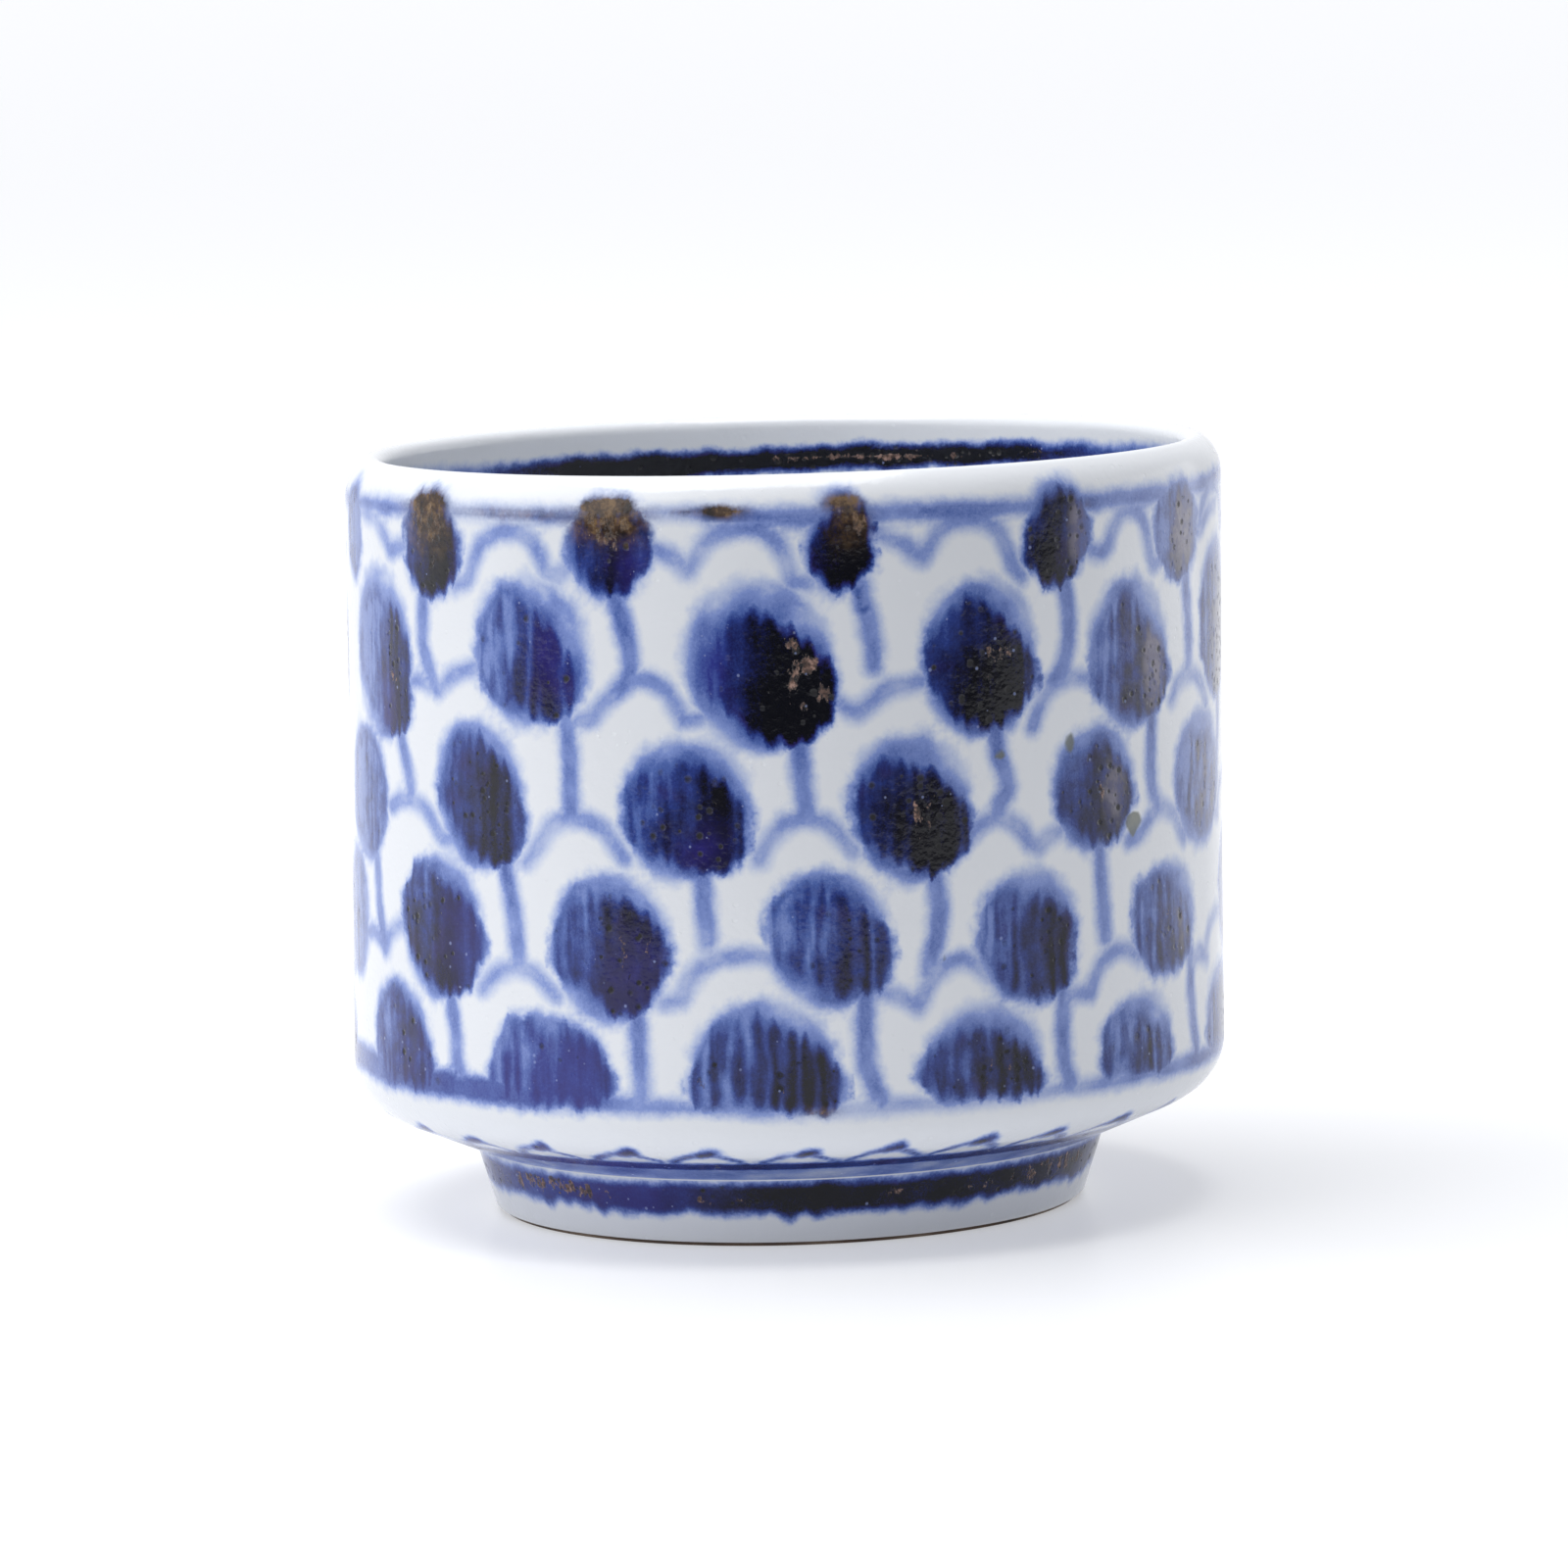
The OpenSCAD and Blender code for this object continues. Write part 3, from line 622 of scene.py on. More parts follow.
# %% Tufts
# Row, angle, height, width, full height, tilt, how closed its strokes are, and the strokes, each with its
# angle, lower end, upper end and load
Tuft = namedtuple("Tuft", "row at level width tall tilt closed strokes")
TUFTS = [
    Tuft(0, -76.5, 47.7, 4.8, 7.2, 0, 0.9, [(-78.4, 45.6, 50, 0.5), (-76, 44.8, 50.8, 0.5), (-73.8, 45.6, 50, 0.4)]),
    Tuft(0, -51.6, 47.4, 6, 7.6, 0, 0.8, [(-56, 45.6, 50, 0.86), (-53.6, 44.1, 50.7, 0.92),
        (-51.2, 43.9, 50.9, 0.98), (-48.8, 44.8, 50.2, 1), (-46.8, 45.2, 49, 0.9)]),
    Tuft(0, -22.6, 47.6, 6, 7.2, 0, 0.75, [(-27.2, 45.9, 49.4, 0.62), (-24.8, 45.2, 50.2, 0.84),
        (-22.2, 44.7, 50.8, 0.98), (-19.8, 45, 50.4, 0.92), (-18, 46.2, 49.6, 0.8)]),
    Tuft(0, 6.8, 47.7, 4.7, 7.2, 0, 1, [(3.7, 45.9, 48.6, 0.95), (5.8, 44.9, 50.1, 1), (8.2, 44.7, 50.8, 1),
        (9.8, 45.8, 50, 0.98)]),
    Tuft(0, 36.2, 47.5, 5.4, 7.4, -4, 0.85, [(32.2, 45.2, 48.6, 0.92), (34.4, 44.2, 50.1, 1),
        (36.8, 44.2, 50.7, 0.96), (39.2, 44.9, 50.2, 0.84), (40.6, 46, 49.3, 0.6)]),
    Tuft(0, 61.5, 46.8, 6.4, 7.2, 0, 0.8, [(56.2, 45, 49.3, 0.5), (58.8, 43.7, 49.7, 0.66),
        (61.4, 43.5, 49.8, 0.8), (64, 44, 49.6, 0.76), (66.2, 45.4, 48.6, 0.6)]),
    Tuft(1, -65.3, 39.7, 9.6, 12, 6, 0.5, [(-71, 38.6, 42.6, 0.4), (-69, 37, 43.4, 0.5), (-66.6, 36.2, 44.2, 0.66),
        (-64, 35.4, 43, 0.74), (-61.8, 34.6, 43.6, 0.92), (-59.4, 34.4, 42.6, 0.96), (-57.6, 35.4, 41, 0.84)]),
    Tuft(1, -34.2, 40.7, 9.3, 10.4, 15, 0.35, [(-41.2, 38, 42.8, 0.66), (-38.3, 37.6, 45.1, 0.74),
        (-35.6, 37, 44.3, 0.78), (-33.2, 36.4, 43.6, 0.92), (-30.7, 36.3, 42.4, 0.94), (-28.4, 36.6, 41, 0.78)]),
    Tuft(1, -3.4, 39.8, 9.9, 11.6, 16, 0.92, [(-9.4, 37.8, 42, 0.68), (-7, 36.8, 43.4, 0.86),
        (-4.6, 35.6, 43.8, 0.96), (-2.1, 35, 43.3, 1), (0.4, 34.7, 42.4, 1), (2.8, 35, 41.5, 1),
        (4.9, 36.2, 40.4, 1)]),
    Tuft(1, 25, 39.6, 8.5, 10.8, 2, 0.8, [(18.6, 38, 41.8, 0.86), (20.9, 36, 43.2, 0.92), (23.2, 35.3, 44, 0.97),
        (25.6, 35.2, 43.3, 0.98), (28, 35.4, 42.4, 0.99), (30.3, 36, 41.4, 0.97), (32, 37, 40, 0.88)]),
    Tuft(1, 49.9, 39, 8.5, 10.6, 12, 0.6, [(43, 36.4, 40.4, 0.66), (45.3, 35.8, 42.6, 0.7),
        (48.4, 35.2, 43.5, 0.8), (50.9, 34.8, 42.4, 0.84), (53.4, 34.8, 41, 0.84), (55.8, 35, 39.6, 0.8),
        (57.4, 36.2, 38.6, 0.7)]),
    Tuft(2, -71.5, 30, 8.4, 10, 0, 0.7, [(-75.5, 28, 33, 0.36), (-72.6, 27, 34, 0.42), (-69.8, 26.4, 34, 0.52),
        (-67.2, 26.4, 33.3, 0.62), (-65, 27.6, 32, 0.56)]),
    Tuft(2, -42.9, 31, 8.3, 10.4, 12, 0.7, [(-49, 30, 32.8, 0.74), (-46.9, 28.6, 34.9, 0.8),
        (-44.6, 27.6, 35.2, 0.88), (-42.3, 27, 35.2, 0.94), (-40, 26.5, 34.1, 0.96), (-37.9, 26.5, 33.2, 0.92),
        (-36.3, 27.6, 31.4, 0.76)]),
    Tuft(2, -12.8, 30.4, 9, 9.8, 10, 0.75, [(-19.9, 28.4, 32.6, 0.7), (-18, 27.6, 33.8, 0.76),
        (-15.6, 27.4, 33.6, 0.82), (-13.1, 26.9, 33.9, 0.88), (-10.6, 26.5, 33.6, 0.94), (-8.2, 26.4, 32.8, 0.98),
        (-6.2, 27, 31.3, 0.9)]),
    Tuft(2, 15.6, 30.1, 8.5, 10.2, 12, 0.75, [(9.4, 28, 32.4, 0.82), (11.6, 27.3, 33.8, 0.9),
        (13.9, 26.8, 33.5, 0.95), (16.1, 26.3, 32.8, 0.98), (18.4, 25.8, 32.7, 0.99), (20.6, 26.3, 31.8, 0.98),
        (22.3, 27.2, 30.6, 0.9)]),
    Tuft(2, 42.7, 30.3, 7.8, 8.8, 6, 0.85, [(37.2, 28.6, 32.4, 0.78), (39.6, 27.8, 32.8, 0.82),
        (42.1, 27, 33.6, 0.88), (44.6, 26.6, 33.6, 0.9), (47, 27, 32.4, 0.86), (49, 28.4, 31, 0.76)]),
    Tuft(2, 69, 29.6, 9.6, 9.8, 4, 0.5, [(62.4, 28, 32.6, 0.46), (65, 27, 32.8, 0.56), (67.8, 26.5, 32.8, 0.6),
        (70.8, 26.2, 32.4, 0.62), (74, 26.6, 31.6, 0.58), (77, 28, 30.6, 0.5)]),
    Tuft(3, -77.5, 21.7, 7, 9.6, 0, 0.8, [(-81, 19, 24, 0.5), (-78.2, 17.8, 25.2, 0.5), (-75.4, 18.2, 25.2, 0.44)]),
    Tuft(3, -50.7, 21.9, 8.8, 10.2, 8, 0.75, [(-58.2, 20.8, 24.6, 0.9), (-56.1, 19.4, 26.4, 0.84),
        (-53.8, 18.4, 26.3, 0.88), (-51.3, 18, 25.8, 0.92), (-48.9, 17.6, 24.8, 0.96), (-46.5, 17.8, 24.6, 0.88),
        (-44.3, 18.7, 23.8, 0.84), (-42.8, 20.3, 22.4, 0.72)]),
    Tuft(3, -23.2, 21.3, 8.5, 10.4, 4, 0.7, [(-30.1, 19.4, 23.3, 0.74), (-27.8, 19, 25.8, 0.72),
        (-25.3, 18.4, 25.2, 0.86), (-22.8, 17.3, 24.9, 0.96), (-20.3, 16.8, 24.6, 0.97), (-18.1, 17.7, 23.8, 0.96),
        (-16.3, 19.2, 22.6, 0.84)]),
    Tuft(3, 4.9, 21.8, 8.2, 9.6, 12, 0.3, [(-1.4, 20.8, 25, 0.74), (1.3, 19.8, 25.6, 0.76),
        (4.2, 18.9, 25.7, 0.88), (6.8, 18.4, 24.9, 0.92), (9.3, 18.1, 24.1, 0.92), (11.5, 18.4, 23, 0.86)]),
    Tuft(3, 31.8, 21, 8.2, 9.2, 6, 0.4, [(25.3, 20.3, 23.3, 0.74), (27.2, 18.6, 24.2, 0.78),
        (29.5, 17.6, 24.3, 0.82), (32.2, 17.2, 24, 0.86), (35.1, 16.9, 23.6, 0.94), (37.5, 17.6, 22.8, 0.92)]),
    Tuft(3, 57.8, 20.7, 8.8, 8, 6, 0.6, [(51, 19.2, 23.8, 0.78), (53.5, 17.6, 23.9, 0.7), (56, 17.6, 24.1, 0.74),
        (58.5, 17.5, 23.3, 0.8), (61, 17.5, 22.6, 0.8), (63.5, 18, 21.3, 0.68)]),
    Tuft(4, -61, 13.2, 8.6, 9.8, 4, 0.7, [(-67.3, 11, 15.6, 0.6), (-65, 11, 16.6, 0.68), (-62.5, 11, 17.6, 0.76),
        (-60, 11, 17.2, 0.84), (-57.5, 11, 16.4, 0.86), (-55.2, 11, 15.2, 0.8), (-53.3, 11, 13.6, 0.7)]),
    Tuft(4, -32.3, 12.2, 9.8, 9.6, 0, 0.85, [(-40.6, 11, 13.8, 0.62), (-38.6, 11, 16.9, 0.7),
        (-36.6, 11, 16.1, 0.66), (-34.8, 11, 16.9, 0.7), (-32.4, 11, 16.2, 0.74), (-29.9, 11, 16.7, 0.8),
        (-27.4, 11, 15.9, 0.84), (-25.2, 11, 15.1, 0.8), (-23.6, 11.3, 13.6, 0.72)]),
    Tuft(4, -3.3, 13, 9.9, 10.2, 12, 0.3, [(-11.6, 11, 14.2, 0.86), (-9.5, 11.2, 16.8, 0.84),
        (-7, 11.4, 16.6, 0.84), (-4.3, 11.4, 17.4, 0.9), (-2, 10.9, 16.5, 0.94), (0.2, 10.7, 16, 0.97),
        (2.4, 10.6, 15.4, 0.97), (4.4, 10.6, 14.5, 0.94), (5.6, 10.8, 13.8, 0.84)]),
    Tuft(4, 25.3, 12.6, 8.8, 9, 8, 0.4, [(17.3, 11.6, 14.2, 0.86), (19.3, 11.2, 14.8, 0.84), (21.8, 11, 15.4, 0.9),
        (24.5, 10.9, 15.7, 0.94), (27, 10.8, 15, 0.95), (29.5, 10.8, 14.7, 0.92), (31.7, 10.8, 13.8, 0.9),
        (33.2, 11, 12.4, 0.82)]),
    Tuft(4, 51, 12.4, 8.2, 7.8, 2, 0.15, [(44.6, 11.2, 14.8, 0.88), (47.5, 12.6, 15.4, 0.72),
        (50.3, 11, 14.9, 0.72), (53, 10.8, 14.2, 0.86), (55.8, 10.7, 13.5, 0.8), (57.8, 11, 12.8, 0.74)]),
]
ROWS = 5
TUFTS_PER_ROW = 13
STROKE_WIDTH = 1.25
STROKE_STEP = math.degrees(STROKE_WIDTH / WALL_RADIUS)
WALL_FOOT = 10.3
DEGREES_PER_RADIAN = 57.3
# How far a tuft reaches from its middle, in degrees and millimetres
TUFT_REACH = (24, 9.5)
# Degrees over which the ends of its strokes are smoothed into one another
END_BLUR = 0.9
# How far the core goes past its strokes at the sides and below, stops short above, and rounds its corners
CORE_BESIDE, CORE_BELOW, CORE_ABOVE, CORE_ROUND = 0.52, 0.05, 0.2, 1.2
rng = np.random.default_rng(23)


def tuft_by_rule(row, at, level, width, tall):
    """A tuft whose stroke ends follow its oval, for the side that has no listed ones."""
    strokes = []
    tilt = rng.uniform(0, 12) if row else 0
    count = round((width - 0.8) / STROKE_WIDTH)
    for place in range(count):
        across = (place - (count - 1) / 2) * STROKE_WIDTH
        reach = tall / 2 * math.sqrt(max(0.1, 1 - (across / (width / 2)) ** 2)) - 0.9
        middle = level - 0.3 - across * math.tan(math.radians(tilt))
        low = max(WALL_FOOT + 0.7, middle - reach + rng.uniform(-0.3, 0.4))
        high = middle + reach + rng.uniform(-0.6, 0.4)
        load = 0.68 + 0.24 * place / count + rng.uniform(-0.06, 0.06)
        strokes.append((at + across / WALL_RADIUS * DEGREES_PER_RADIAN, low, high, load))
    return Tuft(row, at, level, width, tall, tilt, rng.uniform(0.2, 0.9), strokes)


def rest_of_row(row):
    """The tufts round the back, spread evenly between the last and the first that are listed."""
    seen = [tuft for tuft in TUFTS if tuft.row == row]
    missing = TUFTS_PER_ROW - len(seen)
    step = (360 + seen[0].at - seen[-1].at) / (missing + 1)
    level, width, tall = (float(np.mean([getattr(t, key) for t in seen])) for key in ("level", "width", "tall"))
    return [tuft_by_rule(row, seen[-1].at + step * (place + 1) + rng.uniform(-1.5, 1.5),
                         level + rng.uniform(-0.5, 0.5), width * rng.uniform(0.92, 1.06),
                         tall * rng.uniform(0.94, 1.04)) for place in range(missing)]


def around(first, second):
    """The smaller angle from second to first, in degrees."""
    return (first - second + 180) % 360 - 180


def oval_gap(x, z, half_width, half_height):
    """Signed distance to a full oval, negative inside, good near its edge."""
    power = 2.2
    size = ((np.abs(x) / half_width) ** power + (np.abs(z) / half_height) ** power) ** (1 / power)
    size = np.maximum(size, 0.05)
    slope = np.hypot(x / (size * half_width ** 2), z / (size * half_height ** 2))
    return (size - 1) / np.maximum(slope, 0.5 / max(half_width, half_height))


count = len(angle)
FAR = 6.0
marks = {name: np.full(count, FAR) for name in ("wash_gap", "stroke_gap", "line_gap")}
for name in ("load", "line_load", "stroke", "closed", "wash_load", "iron", "film_and_sheen", "violet", "ochre", "blot"):
    marks[name] = np.zeros(count)


def lay_where_closer(gap_name, near, values):
    """Writes a mark's values where it lies closer than what is there already."""
    closer = values[gap_name] < marks[gap_name][near]
    for name, value in values.items():
        marks[name][near[closer]] = value if np.isscalar(value) else value[closer]


def lay_tuft(tuft):
    """One tuft: the gap to its wash, the gap to its strokes, and the colour that each stroke carries."""
    near = np.where(on_wall & (np.abs(around(angle, tuft.at)) < TUFT_REACH[0])
                    & (np.abs(height - tuft.level) < TUFT_REACH[1]))[0]
    level, turn = height[near], around(angle[near], tuft.at)
    x, z = np.radians(turn) * WALL_RADIUS, level - tuft.level
    lean = math.radians(tuft.tilt)
    wash = oval_gap(x * math.cos(lean) + z * math.sin(lean), z * math.cos(lean) - x * math.sin(lean),
                    tuft.width / 2, tuft.tall / 2)
    # The core is the stretch that the strokes cover, with their ends smoothed into one another
    centres = np.array([around(s[0], tuft.at) for s in tuft.strokes])
    reaches = np.linspace(centres[0] - 4, centres[-1] + 4, 160)
    blur = np.exp(-((reaches[:, None] - reaches[None, :]) / END_BLUR) ** 2)
    blur /= blur.sum(axis=1, keepdims=True)
    low, high = (np.interp(turn, reaches, blur @ np.interp(reaches, centres, [s[end] for s in tuft.strokes]))
                 for end in (1, 2))
    ends = np.maximum(level - high + CORE_ABOVE, low - CORE_BELOW - level)
    beside = np.radians(np.maximum(centres[0] - turn, turn - centres[-1])) * WALL_RADIUS - CORE_BESIDE
    corner = np.hypot(np.maximum(ends + CORE_ROUND, 0), np.maximum(beside + CORE_ROUND, 0)) - CORE_ROUND
    core = np.where(ends < -CORE_ROUND, beside, np.where(beside < -CORE_ROUND, ends, corner))
    phase = np.interp(turn, centres, np.arange(len(centres)))
    phase += np.where(turn < centres[0], (turn - centres[0]) / STROKE_STEP, 0)
    phase += np.where(turn > centres[-1], (turn - centres[-1]) / STROKE_STEP, 0)
    # The colour gathers at the lower right, where a stroke ends
    loads = np.array([s[3] for s in tuft.strokes])
    loads = 0.91 * loads + 1.2 * np.maximum(loads - 0.88, 0)
    slant = np.clip(0.5 + 0.5 * z / (tuft.tall / 2) - 0.35 * x / (tuft.width / 2), 0, 1)
    load = np.interp(turn, centres, loads) * (1.05 - 0.24 * slant ** 1.5)
    if tuft.row == ROWS - 1:
        wash = np.maximum(wash, WALL_FOOT - level)
        core = np.maximum(core, WALL_FOOT + 0.3 - level)
    wash = np.minimum(wash + 0.2 * np.clip(0.3 - z / tuft.tall, 0, 1), core - 0.3)
    lay_where_closer("wash_gap", near, {"wash_gap": wash, "stroke_gap": core, "stroke": phase, "load": load,
                                        "closed": tuft.closed, "wash_load": 1.0})


back_tufts = [tuft for row in range(ROWS) for tuft in rest_of_row(row)]
for tuft in TUFTS + back_tufts:
    lay_tuft(tuft)
print("tufts set by hand:", len(TUFTS), "by rule:", len(back_tufts))

# %% [markdown]
# ## Thin lines
# A fine brush drew a stem under each tuft and a lobed outline over it, a line under the lip, one over the
# shoulder and one round the underside, with a row of small waves on its outer side. A line is a list of
# points, and its distance from every point of the wall is worked out piece by piece. The line's load of
# colour falls away towards the end of a stem, where the brush was lifted.

# %% Line helpers
# How far a line reaches beyond its ends, in degrees and millimetres
LINE_REACH = (9, 3)


def lay_line(points, half_width, load, where, fade=0.0):
    """Lays a brush line through points given as angle and run or height, on the chosen stretch."""
    level = height if where is on_wall else run
    for first, (start, end) in enumerate(zip(points[:-1], points[1:])):
        middle, reach = (start[0] + end[0]) / 2, abs(end[0] - start[0]) / 2 + LINE_REACH[0]
        near = np.where(where & (np.abs(around(angle, middle)) < reach)
                        & (level > min(start[1], end[1]) - LINE_REACH[1])
                        & (level < max(start[1], end[1]) + LINE_REACH[1]))[0]
        x = np.radians(around(angle[near], start[0])) * radius[near]
        z = level[near] - start[1]
        ex = np.radians(end[0] - start[0]) * radius[near]
        ez = end[1] - start[1]
        share = np.clip((x * ex + z * ez) / np.maximum(ex ** 2 + ez ** 2, 1e-9), 0, 1)
        progress = (first + share) / (len(points) - 1)
        lay_where_closer("line_gap", near, {"line_gap": np.hypot(x - ex * share, z - ez * share) - half_width,
                                            "line_load": load * (1 - fade * progress)})


def lay_band(low, high, load, where):
    """Lays a ring of colour between two edges. The edges and the load are given at every point."""
    near = np.where(where)[0]
    gap = np.maximum(low - height, height - high)
    lay_where_closer("line_gap", near, {"line_gap": gap[near], "line_load": load[near]})


def wavy(stops):
    """A value that changes smoothly round the cup, through the given angles and values."""
    stops = sorted(stops)
    stops = [(stops[-1][0] - 360, stops[-1][1]), *stops, (stops[0][0] + 360, stops[0][1])]
    return np.interp(angle, *zip(*stops))


def ripple(seed, size, slow=3, fast=40):
    """A small seeded unevenness round the cup, that meets itself at the back."""
    local = np.random.default_rng(seed)
    total = np.zeros(count)
    for turns in range(slow, fast):
        total += local.normal() * np.cos(np.radians(angle) * turns + local.uniform(0, 6.28)) / math.sqrt(turns)
    return total * size / max(total.std(), 1e-6)


# %% Scallops and stems
# Points of each line, as angle and height
SCALLOPS = [
    [(-72.5, 49.3), (-66.5, 48.8), (-63.5, 47.8), (-61.5, 46.8), (-57.5, 47.2)],
    [(-46.5, 44.9), (-44.2, 45.3), (-43.4, 46.5), (-41.5, 47.9), (-38.5, 48.6), (-35.5, 48.6), (-33.5, 48),
     (-32.2, 47), (-31.6, 46), (-29.6, 45.8), (-27.6, 46.5)],
    [(-17.3, 47.7), (-15.5, 47.4), (-13.5, 46.8), (-12.3, 46.1), (-11.5, 46.8), (-10.2, 47.8), (-8.2, 48.6),
     (-5.2, 48.9), (-2.7, 48.7), (-0.8, 47.8), (0.2, 46.6), (0.7, 45.4), (2.8, 45.2)],
    [(10.6, 48.4), (13, 47.9), (14.8, 47.6), (16, 46.9), (17, 46.5), (18, 47.1), (19.2, 48), (21, 48.7),
     (23.5, 48.9), (26, 48.6), (27.8, 47.8), (28.8, 46.8), (29.6, 45.5), (30.8, 44.9)],
    [(39.8, 49), (40.5, 47.2), (41.8, 46.2), (44, 45.9), (45, 46.4), (46, 47.4), (47.6, 48.4), (50, 48.6),
     (52, 48), (53, 47), (53.7, 45.8), (54.6, 44.6), (56.5, 45)],
    [(66.5, 46.2), (69.5, 46.6), (73, 47.6), (77, 47.8)],
    [(-57.5, 38), (-54.5, 38.4), (-52, 38.1), (-50.5, 37.8), (-48, 38.7), (-45, 39.3), (-42.2, 39.6)],
    [(-27, 36.4), (-25.2, 36.4), (-23.6, 37.5), (-22, 38.1), (-19.5, 39.1), (-17, 39), (-15, 38.3), (-13.7, 37.2),
     (-12.8, 36.4), (-10.8, 36.5)],
    [(5.8, 37.6), (7.5, 36.9), (9, 36.7), (10.5, 37.2), (12, 37.9), (14, 38.3), (17, 38.5)],
    [(32.4, 34.9), (33, 35.8), (34.1, 36.8), (36, 37.7), (38.5, 38), (41, 37.8), (43.2, 37.2)],
    [(59.3, 35.4), (60.6, 36.3), (63, 36.9), (66.5, 36.8), (69.5, 35.8), (71.2, 34.5)],
    [(-62.2, 29.6), (-60, 30.2), (-57, 30.3), (-54, 29.9), (-52, 29.1), (-50, 27.9), (-48, 28)],
    [(-35, 26.9), (-33.2, 27.9), (-31.5, 29.2), (-29, 29.9), (-26, 29.8), (-23.5, 29.2), (-22, 28.1), (-20.8, 27.3)],
    [(-3.8, 27.2), (-2.4, 28.5), (-0.5, 29.6), (2, 29.9), (4.5, 29.6), (6.5, 28.7), (8.2, 27.7)],
    [(22.6, 27.8), (24, 28.7), (26.5, 29.2), (29, 28.9), (30.8, 28.2), (31.8, 27.4), (33.3, 27), (34.5, 27.6),
     (36.6, 27.9)],
    [(49, 26.6), (51.5, 26.8), (54, 28), (57, 28.4), (60, 27.6), (62.6, 25.9)],
    [(-73, 20.4), (-69, 20.8), (-66.5, 20.3), (-64.5, 19.8), (-63.5, 20.8), (-61, 21.5), (-58.6, 21.9)],
    [(-42.6, 18.2), (-41, 18.9), (-39.5, 19.5), (-37, 19.9), (-34, 19.6), (-32.3, 18.8), (-30.6, 18)],
    [(-15.8, 17.9), (-13.8, 18.1), (-12.8, 19.2), (-11, 20.3), (-8.5, 20.9), (-5.5, 21), (-3, 20.9), (-0.8, 20.5)],
    [(11.6, 18.3), (13.5, 18), (15, 17.6), (16.2, 17.1), (17, 18), (18, 19), (20, 19.9), (22, 20.1), (24, 19.7),
     (25.8, 18.8)],
    [(37.3, 16.9), (39.5, 16.9), (41.5, 16.8), (42.2, 17.7), (43.6, 18.8), (46, 19.4), (48.5, 19.3), (51.2, 18.5)],
    [(65.5, 17.4), (68, 17.9), (71, 17.2)],
]
STEMS = [
    [(-53.2, 44.2), (-53.5, 41), (-52.8, 39.8), (-51.3, 38.4), (-50.6, 37.8)],
    [(-21.8, 44.6), (-20.8, 42.5), (-19.9, 41), (-19.7, 39.8), (-20.6, 38.7), (-22, 38.1)],
    [(9.3, 45), (10.2, 42.6), (10.8, 40.9), (10.8, 39.7)],
    [(37.3, 44.4), (38.2, 42.2), (38, 40.2), (37.2, 38.5), (35.6, 37.8)],
    [(63.3, 43.8), (64, 41), (64.6, 38.5), (64.2, 36.9)],
    [(-59.6, 34.6), (-58.4, 33), (-57, 31.5), (-56.9, 30.3)],
    [(-28.9, 36.4), (-28.3, 34), (-28.2, 30.3)],
    [(1.5, 34.8), (1.8, 32.2), (2.3, 30)],
    [(26.8, 35.2), (27.3, 33.3), (28.4, 31.9), (28.7, 31), (27.5, 30), (27.2, 29.2)],
    [(54, 34.8), (53.8, 32), (54.2, 29.8), (55.6, 28.4)],
    [(-67.5, 26), (-67, 23), (-66, 21.2), (-64.8, 19.8)],
    [(-38.5, 26.6), (-37.4, 24.2), (-36.8, 22), (-36.5, 20)],
    [(-10.8, 26.4), (-10.5, 24), (-10.2, 21.9)],
    [(18.5, 26), (19, 23.6), (18.7, 21.8), (18, 20.3), (17.6, 19.4)],
    [(43.2, 26.8), (43.6, 24.4), (44, 22.2), (44.2, 20.4)],
    [(-48.6, 17.4), (-47.8, 15), (-47.5, 13.2), (-46.6, 11.8)],
    [(-19.6, 16.8), (-19.2, 14.2), (-18.9, 11.6)],
    [(9.5, 18.2), (9.3, 16), (9.4, 13.6), (10.5, 12), (11.3, 11)],
    [(37, 17), (36.8, 14.2), (37.1, 12.2), (38.4, 10.9)],
    [(64.5, 18), (64.5, 15.2), (65.4, 13.2), (66.4, 11.4)],
]
DARK_STEM = [(9.3, 44.6), (10.2, 42.6), (10.8, 40.9), (10.8, 39.9)]
# Half the width in millimetres, and the load of colour
SCALLOP_BRUSH = (0.56, 0.28)
STEM_BRUSH = (0.62, 0.38)
DARK_BRUSH = (0.6, 0.56)
STEM_FADE = 0.1
# An arch by rule, in millimetres: half the width of its line, its half span, its rise and the gap under it
ARCH_LINE, ARCH_SPAN, ARCH_RISE, ARCH_GAP = 0.52, 3.5, 2.6, 0.7
for points in SCALLOPS:
    lay_line(points, *SCALLOP_BRUSH, on_wall)
for points in STEMS:
    lay_line(points, *STEM_BRUSH, on_wall, STEM_FADE)
lay_line(DARK_STEM, *DARK_BRUSH, on_wall)


def arch_over(tuft):
    """The outline over a tuft that stands by rule: one lobe between its upper neighbours, with turned feet."""
    degree = math.radians(1) * WALL_RADIUS
    foot = tuft.level + tuft.tall / 2 + ARCH_GAP
    turns = [math.radians(turn) for turn in range(180, -1, -20)]
    lobe = [(tuft.at - 2 + math.cos(turn) * ARCH_SPAN / degree, foot + ARCH_RISE * math.sin(turn))
            for turn in turns]
    return [(lobe[0][0] - 3, foot + 0.3)] + lobe + [(lobe[-1][0] + 2.5, foot + 0.2)]


for tuft in back_tufts:
    if tuft.row:
        lay_line(arch_over(tuft), ARCH_LINE, rng.uniform(0.27, 0.36), on_wall)
    foot = tuft.level - tuft.tall / 2
    bend = tuft.at + rng.uniform(1, 3)
    if tuft.row < ROWS - 1:
        lay_line([(tuft.at + 1.5, foot + 0.8), (bend, foot - 1.5), (bend + rng.uniform(-1, 1), max(11.2, foot - 4.2))],
                 *STEM_BRUSH, on_wall, STEM_FADE)
print("scallops:", len(SCALLOPS), "stems:", len(STEMS))

